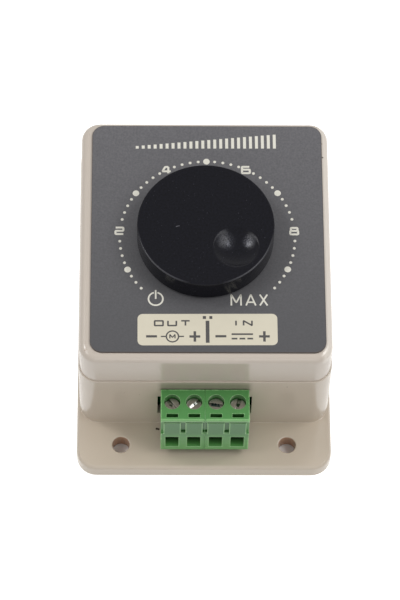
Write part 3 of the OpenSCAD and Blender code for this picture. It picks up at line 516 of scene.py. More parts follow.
opening = outline_rings(
    opening_width, 2 * (wall + past), opening_corner,
    (socket_low.z - opening_below, socket_high.z + opening_above)) - (0, wall_depth / 2, 0)
carve(base, closed_skin("bores", *bores, opening))
smooth(base)
finish_of(base, case_plastic, "case", "case", "base_shell")

# The fasteners: zinc plated pan head screws, four up through the base's columns into the cover, four
# that hold the board to its bosses, and three that clamp the power devices to the heat sink.
zinc_colour = (176, 176, 180)
tarnish_size = 2.5 * mm


def plated(name, colour, roughness, grain=0.12 * mm, stretch=(1, 1, 1), tarnish=0.08,
           relief=0.003 * mm):
    """Metal, from two noises on the object's own place.

    A slow noise dulls the colour in clouds. A fine one, stretched where the metal was drawn, turned or
    rolled, spreads the gloss and scratches the skin.
    """
    material, skin, shades = skinned(name, colour, (1 - 3 * tarnish, 1 + tarnish))
    skin["Metallic"].default_value = 1
    nodes, links = material.node_tree.nodes, material.node_tree.links
    links.new(blended(*shades, noise(material, tarnish_size, 4)), skin["Base Color"])
    drawn = nodes.new("ShaderNodeMapping")
    drawn.inputs["Scale"].default_value = stretch
    links.new(nodes.new("ShaderNodeTexCoord").outputs["Object"], drawn.inputs["Vector"])
    scratches = noise(material, grain, 3, drawn.outputs["Vector"])
    grained(material, scratches, roughness, 0.4, relief)
    return material


def dress(material, *nodes):
    """Gives CAD nodes that stay as they are their material."""
    for node in nodes:
        piece = frame["nodes"][node]
        piece.data.materials.clear()
        piece.data.materials.append(material)


zinc = plated("zinc_plating", zinc_colour, 0.32)
dress(zinc, "case_screws", "board_screws", "heat_sink_screws")

# The circuit board: green lacquer over copper on glass-epoxy sheet, standing on the base's bosses. The
# tracks show paler under the lacquer, as a grid's lines do. Tinned legs and pins come down through it.
board_colour, track_colour = (22, 96, 52), (44, 128, 74)
track_grid, track_share = 10 * mm, 0.02
lacquer = moulded("board_lacquer", board_colour, 0.25, shade=0.06, blotch=9 * mm, grain=0.4 * mm)
lacquer_nodes, lacquer_links = lacquer.node_tree.nodes, lacquer.node_tree.links
tracks = lacquer_nodes.new("ShaderNodeTexBrick")
for part, brightness in (("Color1", 0), ("Color2", 0), ("Mortar", 1)):
    tracks.inputs[part].default_value = (brightness, brightness, brightness, 1)
tracks.inputs["Scale"].default_value = 1 / track_grid
tracks.inputs["Mortar Size"].default_value = track_share
lacquer_links.new(lacquer_nodes.new("ShaderNodeTexCoord").outputs["Object"], tracks.inputs["Vector"])
painted_over(lacquer, track_colour, tracks.outputs["Color"])
dress(lacquer, "circuit_board")
tin = plated("tinned_wire", (206, 205, 200), 0.22, stretch=(1, 1, 0.1))
dress(tin, "socket_pins", "transistor_tabs", "diode_tab", "capacitor_legs", "chip_pins",
      "resistor_leads", "disc_capacitor_legs", "regulator_legs", "track_terminals", "switch_terminals")

# The heat sink: an extruded aluminium plate with fins, and black moulded power devices screwed to it
# through thin silicone pads. The chip and the small regulator are of the same black compound.
dress(plated("mill_aluminium", (200, 201, 204), 0.38, stretch=(1, 1, 0.04)), "heat_sink")
dress(moulded("silicone_pad", (158, 178, 198), 0.7, shade=0.05, grain=0.15 * mm), "insulating_pads")
compound = moulded("moulding_compound", (30, 30, 31), 0.55, shade=0.06, grain=0.12 * mm,
                   relief=0.008 * mm)
dress(compound, "transistor_bodies", "diode_body", "control_chip", "regulator", "switch_can")

# The main capacitors: aluminium cans in a shrunk dark blue sleeve, with a pale stripe down the outer
# side for the minus leg and the bare scored can on top.
_, can_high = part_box("main_capacitors")
sleeve_top = can_high.z - 0.05 * mm
stripe_from = can_high.x - 0.9 * mm
sleeve_blue, stripe_grey, bare_grey = (26, 32, 62), (196, 200, 204), (186, 188, 190)
sleeve = moulded("capacitor_sleeve", sleeve_blue, 0.22, shade=0.03)
sleeve_x, _, sleeve_z = own_axes(sleeve)
outward = calculate("ABSOLUTE", sleeve_x)
painted_where(sleeve, stripe_grey, (outward, stripe_from, 0.1 * mm))
painted_where(sleeve, bare_grey, (sleeve_z, sleeve_top, 0.02 * mm))
dress(sleeve, "main_capacitors")

# The small parts: film resistors in tan lacquer with four painted rings, and disc capacitors dipped
# in orange lacquer.
resistor_low, resistor_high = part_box("resistors")
ring_colours = ((120, 60, 24), (20, 20, 20), (190, 40, 30), (184, 140, 60))
ring_shares = (0.16, 0.36, 0.54, 0.8)
ring_width = 0.55 * mm
resistor_lacquer = moulded("resistor_lacquer", (196, 164, 120), 0.3, shade=0.03)
resistor_x = own_axes(resistor_lacquer)["X"]
for ring_colour, share in zip(ring_colours, ring_shares):
    middle = resistor_low.x + (resistor_high.x - resistor_low.x) * share
    started, ended = [above(resistor_x, middle + side * ring_width / 2, 0.05 * mm)
                      for side in (-1, 1)]
    painted_over(resistor_lacquer, ring_colour, calculate("SUBTRACT", started, ended))
dress(resistor_lacquer, "resistors")
dress(moulded("dipped_lacquer", (206, 120, 40), 0.28, shade=0.05), "disc_capacitors")

# The dial below the knob: a pressed steel can and a threaded bushing round a bright turned shaft, with
# a bronze wiper on a nylon disc over a phenolic wafer, and the on-off switch's cam and blade below.
dress(plated("pressed_steel", (186, 187, 189), 0.3), "dial_can")
dress(plated("cast_zinc", (190, 186, 174), 0.35, stretch=(0.2, 0.2, 4)), "dial_bushing")
dress(plated("turned_steel", (212, 212, 212), 0.2, stretch=(0.2, 0.2, 4)), "dial_shaft")
dress(plated("ring_steel", zinc_colour, 0.3), "shaft_ring")
dress(plated("bronze_strip", (208, 160, 86), 0.28, stretch=(1, 1, 0.1)), "wiper_spring", "switch_blade")
dress(moulded("phenolic_paper", (84, 44, 22), 0.6, shade=0.08, grain=0.2 * mm), "track_wafer")
dress(moulded("natural_nylon", (224, 218, 200), 0.45, shade=0.02), "wiper_disc", "switch_cam")

# The socket: green moulded plastic on the board's front edge, just inside the opening. The plug goes
# into it, and only the dark edges beside the plug show. The wall over the plug has painted shade,
# softly edged.
socket_colour = (76, 128, 72)
edge_soft = 0.1 * mm
merge_distance = 0.002 * mm
same_plane, sharp_from = math.radians(1), math.radians(40)


def softened(node, width):
    """A copy of a CAD node, merged to whole faces, whose sharp edges get a small round."""
    source = frame["nodes"][node].data
    shape = bmesh.new()
    shape.from_mesh(source)
    bmesh.ops.remove_doubles(shape, verts=shape.verts, dist=merge_distance)
    bmesh.ops.dissolve_limit(shape, angle_limit=same_plane, verts=shape.verts, edges=shape.edges)
    mesh = bpy.data.meshes.new(node + "_softened")
    shape.to_mesh(mesh)
    shape.free()
    piece = bpy.data.objects.new(mesh.name, mesh)
    bpy.context.scene.collection.objects.link(piece)
    wear_and_highlight = piece.modifiers.new("worn edges", "BEVEL")
    wear_and_highlight.width = width
    wear_and_highlight.segments = 2
    wear_and_highlight.limit_method = "ANGLE"
    wear_and_highlight.angle_limit = sharp_from
    wear_and_highlight.use_clamp_overlap = True
    wear_and_highlight.material = 1
    smooth(piece)
    return piece


# Painted shade on the front wall just above the plug, where the plug keeps the light off.
painted_shade_colour, shade_strength = (128, 122, 106), 0.55
shade_side, shade_back = (10.7 * mm, -1.2 * mm), (base_low.y + 12.5 * mm, -0.4 * mm)
shade_top, shade_foot = (24.7 * mm, -1.8 * mm), (21 * mm, 1 * mm)
painted_where(case_plastic, painted_shade_colour, (calculate("ABSOLUTE", case_x), *shade_side),
              (case_z, *shade_top), (case_y, *shade_back), (case_z, *shade_foot),
              strength=shade_strength)

socket_plastic = moulded("socket_plastic", socket_colour, 0.35, shade=0.04, grain=0.3 * mm)
socket = softened("terminal_socket", edge_soft)
finish_of(socket, socket_plastic, "plug", "case", "terminal_socket")

# The cover: the same warm grey plastic, a cap with a rounded upper edge and a hole for the knob's hub.
# It stands a little back from the base's walls, with a shadow groove and a bright edge at the joint.
cover_width, cover_depth = cover_high.x - cover_low.x, cover_high.y - cover_low.y
cover_top = cover_high.z
cover_round = 1.7 * mm
ceiling = cover_top - 2.2 * mm
rebate = 1.2 * mm - wall_step
rebate_top = joint_height + 1.5 * mm
groove_depth, groove_height = 0.07 * mm, 0.2 * mm
cover_corner = wall_corner - wall_step
cover_wall = wall - wall_step
groove_round = 0.08 * mm
post_radius, post_foot = 3.33 * mm, 14.2 * mm
post_bore_radius, post_bore_top = 1.48 * mm, 22.6 * mm
hub_hole_radius = 6.2 * mm
top_in, top_down = round_edge(cover_round, 8)
lower_in, lower_up = (part[::-1] for part in round_edge(groove_round, 3))
cover_size = (cover_width, cover_depth, cover_corner)
cover_rows = np.vstack([
    (cover_width - 2 * cover_wall, cover_depth - 2 * cover_wall, inner_corner, ceiling),
    (cover_width - 2 * cover_wall, cover_depth - 2 * cover_wall, inner_corner, rebate_top),
    inset(cover_size, rebate, rebate_top),
    inset(cover_size, rebate, joint_height),
    inset(cover_size, groove_depth, joint_height),
    inset(cover_size, groove_depth, joint_height + groove_height),
    inset(cover_size, lower_in, joint_height + groove_height + lower_up),
    inset(cover_size, top_in, cover_top - top_down),
])
cover = closed_skin("case_cover", outline_rings(*cover_rows.T))
posts = [pillar(post_radius, post_foot, ceiling + buried, place) for place in column_places]
carve(cover, closed_skin("posts", *posts), "UNION")
cover_bores = [pillar(post_bore_radius, post_foot - past, post_bore_top, place)
               for place in column_places]
hub_hole = pillar(hub_hole_radius, ceiling - past, cover_top + past)
carve(cover, closed_skin("cover_bores", *cover_bores, hub_hole))
smooth(cover)
finish_of(cover, case_plastic, "case", "case", "cover_shell")

# The label: a dark grey satin sheet stuck on the cover a little to the right, painted darker towards
# the front as shade, with its cut edge showing brown, and a round hole for the knob's hub.
label_low, label_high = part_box("label_plate")
label_corner, label_edge = 2.9 * mm, 0.06 * mm
label_grey, label_front_shade, front_shade_strength = (101, 100, 103), (74, 74, 76), 0.75
cut_edge_colour, cut_edge_width, cut_edge_soft = (78, 70, 66), 0.12 * mm, 0.08 * mm
sheet_in, sheet_down = round_edge(label_edge, 2)
label_width, label_depth = label_high.x - label_low.x, label_high.y - label_low.y
label_size = (label_width, label_depth, label_corner)
sheet_rows = np.vstack([inset(label_size, 0, label_low.z),
                        inset(label_size, sheet_in, label_high.z - sheet_down)])
sheet_middle = ((label_low.x + label_high.x) / 2, (label_low.y + label_high.y) / 2, 0)
label = closed_skin("label", outline_rings(*sheet_rows.T) + sheet_middle)
carve(label, closed_skin("hub_hole", pillar(hub_hole_radius, label_low.z - past, label_high.z + past)))
smooth(label)
label_sheet = moulded("label_sheet", label_grey, 0.42, shade=0.2, blotch=0.42 * mm, grain=0.18 * mm,
                      relief=0.003 * mm, specular=0.35, specks=((126, 124, 124), 0.3 * mm, 0.875))
label_x, label_y, _ = own_axes(label_sheet)
# Painted shade: the sheet is darker towards the front.
painted_where(label_sheet, label_front_shade, (label_y, sheet_middle[1], -label_depth),
              strength=front_shade_strength)
past_straight = []
for axis, middle, half in zip((label_x, label_y), sheet_middle, (label_width / 2, label_depth / 2)):
    from_middle = calculate("ABSOLUTE", calculate("SUBTRACT", axis, middle))
    beyond = calculate("SUBTRACT", from_middle, half - label_corner)
    past_straight.append(calculate("MAXIMUM", beyond, 0))
painted_where(label_sheet, cut_edge_colour, (
    distance(*past_straight), label_corner - cut_edge_width, cut_edge_soft))
finish_of(label, label_sheet, "label", "case", "label_plate")

# The print on the label: thin layers of pale ink. Dots of two sizes run round the dial with the plain
# numbers 2, 4, 6 and 8, an on-off mark and MAX, and a row of rising bars stands at the back. All of it
# is laid out round the dial's middle, and the whole print sits a quarter of a degree askew.
ink_colour, ink_height = (228, 225, 213), 0.02 * mm
print_foot = label_high.z
print_middle, print_turn = (0.45 * mm, 0.17 * mm), math.radians(0.27)
dot_ring, dot_step = 20.38 * mm, math.radians(60 / 11)
big_dot, small_dot = 0.775 * mm, 0.35 * mm
last_dot, big_places = 24, (-21, -10, 0, 10, 21)
bare_places = (5, 15, 16)
thin_line, number_line, layer_step = 0.38 * mm, 0.5 * mm, 0.003 * mm
numbers = {"2": (-20.45, 1.78), "4": (-9.43, 18.1), "6": (9.26, 18.1), "8": (20.26, 1.65)}
number_size = (2.32, 2.22)
max_letters = {"M": (6.47, 2.6), "A": (9.85, 2.6), "X": (12.8, 2.25)}
max_middle, max_height = -16.47 * mm, 3.2 * mm
corner_share = 0.13
signs = {
    "2": [(False, (0.02, 1), (1, 1), (1, 0.5), (0, 0.5), (0, 0), (1, 0))],
    "4": [(False, (0.74, 0), (0.74, 1)), (False, (0.74, 0.99), (0.34, 0.99), (0, 0.3), (1.05, 0.3))],
    "6": [(False, (0.95, 1), (0, 1), (0, 0), (1, 0), (1, 0.28)),
          (False, (1, 0.28), (1, 0.56), (0, 0.56))],
    "8": [(True, (0, 0), (0, 0.54), (1, 0.54), (1, 0)),
          (False, (0.08, 0.54), (0.08, 1), (0.92, 1), (0.92, 0.54))],
    "M": [(False, (0, 0), (0, 1), (0.5, 0.25), (1, 1), (1, 0))],
    "A": [(False, (0, 0), (0.5, 1), (1, 0)), (False, (0.2, 0.3), (0.8, 0.3))],
    "X": [(False, (0.04, 0), (0.96, 1)), (False, (0.04, 1), (0.96, 0))],
    "O": [(True, (0, 0), (0, 1), (1, 1), (1, 0))],
    "U": [(False, (0, 1), (0, 0), (1, 0), (1, 1))],
    "T": [(False, (0, 1), (1, 1)), (False, (0.5, 1), (0.5, 0))],
    "I": [(False, (0.5, 0), (0.5, 1))],
    "N": [(False, (0, 0), (0, 1), (1, 0), (1, 1))],
}


def disc(radius, place, steps=24):
    """A round flat spot of ink."""
    return pillar(radius, print_foot, print_foot + ink_height, place, steps)


def stroke(points, width, foot=print_foot, height=ink_height, closed=False):
    """A flat band of even width along a bent line, as a grid with four corners to each row.

    Each corner is half the width to the left or right of the line. Where the line bends, left is the
    two sides' lefts added and divided by one plus their product, which keeps both sides' width.
    """
    line = np.asarray(points, float)
    legs = np.diff(line, axis=0)
    legs /= np.linalg.norm(legs, axis=1)[:, None]
    left = np.column_stack([-legs[:, 1], legs[:, 0]])
    before, after = np.vstack([left[:1], left]), np.vstack([left, left[-1:]])
    if closed:
        before[0], after[-1] = left[-1], left[0]
    mitre = (before + after) / (1 + (before * after).sum(axis=1))[:, None] * width / 2
    sides = np.array([1, -1, -1, 1])[None, :, None]
    flat = line[:, None, :] + sides * mitre[:, None, :]
    tall = np.broadcast_to(np.array([height, height, 0, 0]) + foot, flat.shape[:2])
    return np.concatenate([flat, tall[..., None]], axis=-1)


def arc(middle, radius, start, end, steps=28):
    """Places along part of a circle, by angle from the right hand side."""
    angle = np.radians(np.linspace(start, end, steps + 1))
    return np.column_stack([middle[0] + radius * np.cos(angle), middle[1] + radius * np.sin(angle)])


def bent(corners, radius, closed=False, steps=4):
    """A line through corners, each rounded off.

    A rounded corner is the curve a + 2 t (b - a) + t t (a - 2 b + c) from a on one side of the corner b
    to c on the other, both one radius away.
    """
    corners = np.asarray(corners, float)
    count = len(corners)
    pieces = [] if closed else [corners[:1]]
    share = np.linspace(0, 1, steps + 1)[:, None]
    for i in range(0 if closed else 1, count if closed else count - 1):
        corner, before, after = corners[i], corners[i - 1], corners[(i + 1) % count]
        start = corner + (before - corner) / np.linalg.norm(before - corner) * radius
        end = corner + (after - corner) / np.linalg.norm(after - corner) * radius
        pieces.append(start + 2 * share * (corner - start) + share ** 2 * (start - 2 * corner + end))
    pieces.append(pieces[0][:1] if closed else corners[-1:])
    return np.concatenate(pieces)


def character(sign, middle, size, line, foot=print_foot):
    """The strokes of one sign, drawn in a box one wide and one high and put in its place.

    Each stroke is a hair higher than the last, so that no two faces lie in one plane.
    """
    inner = np.array(size) - line
    corner = min(inner) * corner_share
    drawn = []
    for n, (closed, *points) in enumerate(signs[sign]):
        places = np.array(middle) + (np.array(points) - 0.5) * inner
        height = ink_height + n * layer_step
        drawn.append(stroke(bent(places, corner, closed), line, foot, height, closed))
    return drawn


def on_dial(n):
    """Where dot n stands, counted clockwise from the top."""
    return dot_ring * math.sin(n * dot_step), dot_ring * math.cos(n * dot_step)


def print_layer(name, material, bands):
    """One printed layer of spots and strokes, turned askew and put on the label as one piece."""
    cosine, sine = math.cos(print_turn), math.sin(print_turn)
    askew = np.array([[cosine, sine, 0], [-sine, cosine, 0], [0, 0, 1]])
    layer = closed_skin(name, *[band @ askew + (*print_middle, 0) for band in bands])
    finish_of(layer, material, "label", "case")


scale_print = [disc(big_dot, on_dial(n)) for n in big_places]
scale_print += [disc(small_dot, on_dial(n), steps=12) for n in range(-last_dot, last_dot + 1)
                if n not in big_places and abs(n) not in bare_places]
for sign, place in numbers.items():
    scale_print += character(sign, np.array(place) * mm, np.array(number_size) * mm, number_line)
for sign, (x, width) in max_letters.items():
    scale_print += character(sign, (x * mm, max_middle), (width * mm, max_height), thin_line)
mark_middle, mark_radius, mark_top = (-12.06 * mm, -16.13 * mm), 1.66 * mm, -13.85 * mm
mark_angles = (104, 436)
scale_print.append(stroke(arc(mark_middle, mark_radius, *mark_angles), thin_line))
scale_print.append(stroke([(mark_middle[0], mark_top), mark_middle], thin_line))
bar_count, bar_line = 24, 0.7 * mm
bar_from, bar_to, bar_foot = -16.3 * mm, 16.1 * mm, 23.95 * mm
bar_short, bar_tall = 0.7 * mm, 3.8 * mm
for n in range(bar_count):
    share = n / (bar_count - 1)
    x = bar_from + (bar_to - bar_from) * share
    bar_head = bar_foot + bar_short + (bar_tall - bar_short) * share
    scale_print.append(stroke([(x, bar_foot), (x, bar_head)], bar_line))
pale_ink = moulded("pale_ink", ink_colour, 0.5, shade=0.03, blotch=1.2 * mm, grain=0.1 * mm)
print_layer("dial_print", pale_ink, scale_print)

# The terminal panel: a cream panel with the words OUT and IN, the poles' signs, a motor sign, a steady
# supply sign and a divider between the two pairs, all dark on the cream.
panel_cream, panel_dark = (217, 210, 190), (74, 72, 71)
panel_left, panel_right, panel_back, panel_front = -16.24 * mm, 15.85 * mm, -20.05 * mm, -28.13 * mm
panel_corner = 1.2 * mm
panel = outline_rings(panel_right - panel_left, panel_back - panel_front, panel_corner,
                      (print_foot, print_foot + ink_height), steps=5)
panel = panel + ((panel_left + panel_right) / 2, (panel_back + panel_front) / 2, 0)
cream_ink = moulded("cream_ink", panel_cream, 0.45, shade=0.02, blotch=3 * mm, grain=0.15 * mm)
print_layer("terminal_panel", cream_ink, [panel])

panel_top = print_foot + ink_height
word_line, sign_line, mark_line, supply_line = 0.38 * mm, 0.58 * mm, 0.32 * mm, 0.416 * mm
divider_line, divider_arm_line = 0.85 * mm, 0.73 * mm
panel_words = {"OUT": ((-8.3, -22.45), 0.75), "IN": ((7.7, -22.45), 0.4)}
word_letter = (2.3, 1.6)
panel_lines = {
    "minus of OUT": ((-14.28, -25.83), (-11.78, -25.83), sign_line, 0),
    "plus of OUT": ((-4.36, -25.88), (-1.88, -25.88), sign_line, 0),
    "upright of OUT's plus": ((-3.12, -24.55), (-3.12, -27.2), sign_line, 1),
    "minus of IN": ((1.59, -25.83), (4.09, -25.83), sign_line, 0),
    "plus of IN": ((11.59, -25.88), (14.04, -25.88), sign_line, 0),
    "upright of IN's plus": ((12.81, -24.56), (12.81, -27.22), sign_line, 1),
    "divider": ((-0.19, -21.84), (-0.19, -27.5), divider_line, 0),
    "divider's left arm": ((-1.26, -21.0), (-0.52, -21.0), divider_arm_line, 0),
    "divider's right arm": ((0.25, -21.0), (0.93, -21.0), divider_arm_line, 0),
    "motor's left lead": ((-10.9, -25.86), (-9.6, -25.86), mark_line, 1),
    "motor's right lead": ((-6.9, -25.86), (-5.6, -25.86), mark_line, 1),
    "supply's upper line": ((5.3, -25.3), (10.2, -25.3), supply_line, 0),
    "supply's first dash": ((5.3, -26.45), (6.6, -26.45), supply_line, 0),
    "supply's second dash": ((7.1, -26.45), (8.4, -26.45), supply_line, 0),
    "supply's third dash": ((8.9, -26.45), (10.2, -26.45), supply_line, 0),
}
motor_middle, motor_radius = (-8.25 * mm, -25.86 * mm), 1.4 * mm
motor_letter, motor_letter_line = (1.45 * mm, 1.25 * mm), 0.272 * mm


def panel_word(letters, middle, gap):
    """Letters of one width in a row round a middle, in millimetres."""
    width, height = word_letter
    bands = []
    for n, letter in enumerate(letters):
        x = middle[0] + (n - (len(letters) - 1) / 2) * (width + gap)
        bands += character(letter, (x * mm, middle[1] * mm), (width * mm, height * mm), word_line,
                           panel_top)
    return bands


panel_print = []
for word, (place, gap) in panel_words.items():
    panel_print += panel_word(word, place, gap)
for start, end, line_width, step in panel_lines.values():
    panel_print.append(stroke(
        np.array((start, end)) * mm, line_width, panel_top, ink_height + step * layer_step))
panel_print.append(stroke(arc(motor_middle, motor_radius, 0, 360), mark_line, panel_top, closed=True))
panel_print += character("M", motor_middle, motor_letter, motor_letter_line, panel_top)
dark_ink = moulded("dark_ink", panel_dark, 0.5, shade=0.03, blotch=1.2 * mm, grain=0.1 * mm)
print_layer("panel_print", dark_ink, panel_print)

# The knob: a flat disc of satin black moulded plastic with a round finger dimple near its rim. A hub
# below it reaches through the cover and grips the flatted shaft. The rim's front left and right and two
# spots in the dimple get a painted highlight, and three dots make a scratch.
knob_low, knob_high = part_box("control_knob")
knob_radius = (knob_high.x - knob_low.x) / 2
knob_foot = label_high.z + 0.5 * mm
knob_top = knob_high.z
knob_round, knob_lower_round = 0.35 * mm, 0.25 * mm
hollow_radius, hollow_roof = knob_radius - 1.6 * mm, knob_top - 3 * mm
hub_radius = 5.5 * mm
bore_radius, bore_flat, bore_roof = 3.03 * mm, 1.53 * mm, knob_top - 1.8 * mm
dimple_radius, dimple_depth = 5.3 * mm, 1.7 * mm
dimple_from_axis, dimple_direction = 9.1 * mm, math.radians(-40)
dimple_soft = 0.06 * mm
dimple_ball = (dimple_radius ** 2 + dimple_depth ** 2) / (2 * dimple_depth)
dimple_reach = 1.4 * dimple_radius
knob_steps, top_rings, centre_share = 192, 96, 0.002


def dimple_drop(x, y):
    """How far the dimple lies below the knob's flat top.

    The dimple is a ball's cap: ball - depth - root(ball ball - s s), at distance s from its middle. Its
    rim is softened by taking the flat and the cap together as soft log(1 + exp(-cap / soft)).
    """
    s = np.hypot(x - dimple_from_axis * math.cos(dimple_direction),
                 y - dimple_from_axis * math.sin(dimple_direction))
    s = np.minimum(s, dimple_reach)
    cap = dimple_ball - dimple_depth - np.sqrt(dimple_ball ** 2 - s ** 2)
    return dimple_soft * np.logaddexp(0, -cap / dimple_soft)


round_in, round_down = round_edge(knob_round, 8)
lower_in, lower_up = (part[::-1] for part in round_edge(knob_lower_round, 3))
knob_rows = np.vstack([
    (bore_radius, bore_roof), (bore_radius, knob_low.z), (hub_radius, knob_low.z),
    (hub_radius, hollow_roof), (hollow_radius, hollow_roof), (hollow_radius, knob_foot),
    np.column_stack([knob_radius - lower_in, knob_foot + lower_up]),
    np.column_stack([knob_radius - round_in, knob_top - round_down])])
under = circle_rings(*knob_rows.T, steps=knob_steps)
bore_flat_ring = np.array([[bore_flat, math.inf, math.inf]])
under[:2] = np.minimum(under[:2], bore_flat_ring)
face_radii = (knob_radius - knob_round) * np.linspace(1, centre_share, top_rings)[1:]
face = circle_rings(face_radii, np.full(top_rings - 1, knob_top), steps=knob_steps)
face[..., 2] -= dimple_drop(face[..., 0], face[..., 1])
knob = closed_skin("knob", np.concatenate([under, face]))
smooth(knob)
knob_black = moulded("knob_black", (15, 15, 22), 0.2, shade=0.47, blotch=0.5 * mm, grain=0.2 * mm,
                     relief=0.014 * mm, specular=0.13, specks=((78, 78, 88), 0.24 * mm, 0.82))
knob_x, knob_y, knob_z = own_axes(knob_black)
rim_width, rim_soft, rim_highlight_colour = 0.2 * mm, 0.1 * mm, (66, 66, 70)
rim_front, rim_sides = (-5 * mm, -6 * mm), (5.5 * mm, 4 * mm)
# Painted highlight along the rim's top edge at the front left and right.
painted_where(
    knob_black, rim_highlight_colour, (distance(knob_x, knob_y), knob_radius - knob_round, rim_soft),
    (knob_z, knob_top - rim_width, rim_soft), (knob_y, *rim_front),
    (calculate("ABSOLUTE", knob_x), *rim_sides))
scratch_dots, scratch_colour = ((-6.78, -0.6), (-6.5, -0.5), (-6.2, -0.42)), (112, 112, 118)
scratch_reach, scratch_soft = 0.1 * mm, 0.12 * mm
for x, y in scratch_dots:
    dot = near(knob_black, (x * mm, y * mm, None), scratch_reach, scratch_soft)
    painted_over(knob_black, scratch_colour, dot)
# Painted highlights on both sides of the dimple, broken up by a fine noise.
dimple_highlights = {
    "left side of the dimple": (4.5, -3.8, 1.5, (74, 75, 82)),
    "its brightest spot": (5.1, -4.3, 0.6, (108, 109, 116)),
    "right side of the dimple": (10.0, -3.9, 1.05, (98, 99, 106)),
    "that side's brightest spot": (9.75, -4.7, 0.5, (120, 121, 128)),
}
highlight_grain, highlight_level, highlight_softness = 0.3 * mm, (0.5, 0.3), 1.4
grainy = above(noise(knob_black, highlight_grain), *highlight_level)
for x, y, reach, highlight_colour in dimple_highlights.values():
    wear_and_highlight = near(knob_black, (x * mm, y * mm, None), reach * mm, highlight_softness * reach * mm)
    painted_over(knob_black, highlight_colour, product(wear_and_highlight, grainy))
finish_of(knob, knob_black, "knob", "dial", "control_knob")

# The plug: green moulded plastic, four poles wide, with a well for each clamp screw, a small test slot
# in front of it, square wire holes below, and sunk strips between raised blocks on its front. Painted
# shade darkens the depths of its wire holes, its upper front, its grooves and the line over each block.
# Painted light brightens the holes' entries, its lower front, the seam, the groove floors and the
# blocks' sides. Its lips and hole frames are paler, and its edges are pale with wear and a painted
# highlight.
plug_colour, edge_wear_and_highlight = (80, 138, 76), (150, 204, 138)
plug_edge = 0.17 * mm
plug = softened("plug_housing", plug_edge)
plug_plastic = moulded("plug_plastic", plug_colour, 0.33, shade=0.04, blotch=3 * mm, grain=0.3 * mm,
                       relief=0.004 * mm, specular=0.3, specks=((58, 96, 56), 0.35 * mm, 0.85))
plug_low, plug_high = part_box("plug_housing")
plug_x, plug_y, plug_z = own_axes(plug_plastic)
plug_side = calculate("ABSOLUTE", plug_x)
front, hair = plug_low.y, 0.02 * mm
pitch, first_pole = 5.08 * mm, -7.62 * mm
from_left = calculate("SUBTRACT", plug_x, first_pole - pitch / 2)
along_pitch = calculate("MODULO", from_left, pitch)
beside_pole = calculate("ABSOLUTE", calculate("SUBTRACT", along_pitch, pitch / 2))
wire_half, wire_foot, wire_top = 1.6 * mm, plug_low.z + 1.55 * mm, plug_low.z + 6.75 * mm
mouth_painted_light, mouth_painted_shade, mouth_depth = (122, 196, 110), (14, 40, 16), 2.5 * mm
in_mouth = product(above(beside_pole, wire_half, -hair), above(plug_z, wire_foot, hair),
                   above(plug_z, wire_top, -hair), above(plug_y, front + 0.2 * mm, 0.05 * mm))
# Painted light near the entry of each wire hole, then painted shade deeper in.
painted_over(plug_plastic, mouth_painted_light, in_mouth)
deep = above(plug_y, front + mouth_depth / 2, mouth_depth)
painted_over(plug_plastic, mouth_painted_shade, product(in_mouth, deep))
upper_painted_shade, lower_painted_light, lower_top = (66, 118, 68), (112, 168, 104), 8 * mm
on_face = (plug_y, front + 0.1 * mm, -0.05 * mm)
# Painted shade on the upper front, and painted light towards the front's bottom.
painted_where(plug_plastic, upper_painted_shade, (plug_z, plug_low.z + lower_top, 2 * mm), on_face)
painted_where(plug_plastic, lower_painted_light, (plug_z, plug_low.z + lower_top / 2, -lower_top), on_face)
seam_painted_light, seam_half, seam_soft = (168, 226, 158), 0.1 * mm, 0.06 * mm
# Painted light along the seam, over the shade of the gap between the halves.
painted_over(plug_plastic, seam_painted_light, near(plug_plastic, (0, None, None), seam_half, seam_soft))
block_half, block_foot, block_head = 1.965 * mm, plug_low.z + 8.4 * mm, plug_high.z - 1.1 * mm
notch_head, line_foot, end_blocks = block_foot + 1 * mm, block_head - 0.45 * mm, plug_high.x - 0.8 * mm
between_ends = above(plug_side, end_blocks, -hair)


def on_front(sides, heights, depths, strength):
    """How far a place lies within limits beside its pole, in height, and behind the plug's front."""
    amounts = [above(value, limit, softness)
               for value, limits in ((beside_pole, sides), (plug_z, heights), (plug_y, depths))
               for limit, softness in zip(limits, (hair, -hair)) if limit is not None]
    return product(*amounts, strength)


# Painted shade in the grooves and over each block, painted light on the groove floors, a painted
# highlight on the blocks' sides, and paler lips and hole frames.
relief_paint = {
    "painted shade in the groove between blocks": ((40, 92, 46), product(between_ends, on_front(
        (block_half, None), (notch_head, block_head), (front + 0.3 * mm, front + 1 * mm), 0.75))),
    "painted light on the groove floor": ((200, 244, 190), product(between_ends, on_front(
        (block_half, None), (block_foot - 0.1 * mm, block_foot + 0.1 * mm),
        (front + hair, front + 0.5 * mm), 0.8))),
    "painted shade over a block": ((20, 60, 22), on_front(
        (None, block_half + hair), (line_foot - 0.06 * mm, block_head + hair),
        (front + hair, front + mm), 0.95)),
    "painted highlight on a block's sides": ((164, 214, 154), on_front(
        (block_half - 0.2 * mm, block_half + hair), (block_foot, line_foot),
        (None, front + 0.1 * mm), 0.5)),
    "pale lip": ((150, 204, 132), on_front(
        (None, None), (block_head, None), (None, front + 0.35 * mm), 0.34)),
    "pale frame of a wire hole": ((150, 204, 142), on_front(
        (None, wire_half + 0.2 * mm), (wire_foot - 0.2 * mm, wire_top + 0.3 * mm),
        (None, front + 0.1 * mm), 0.3)),
}
for relief_colour, amount in relief_paint.values():
    painted_over(plug_plastic, relief_colour, amount)
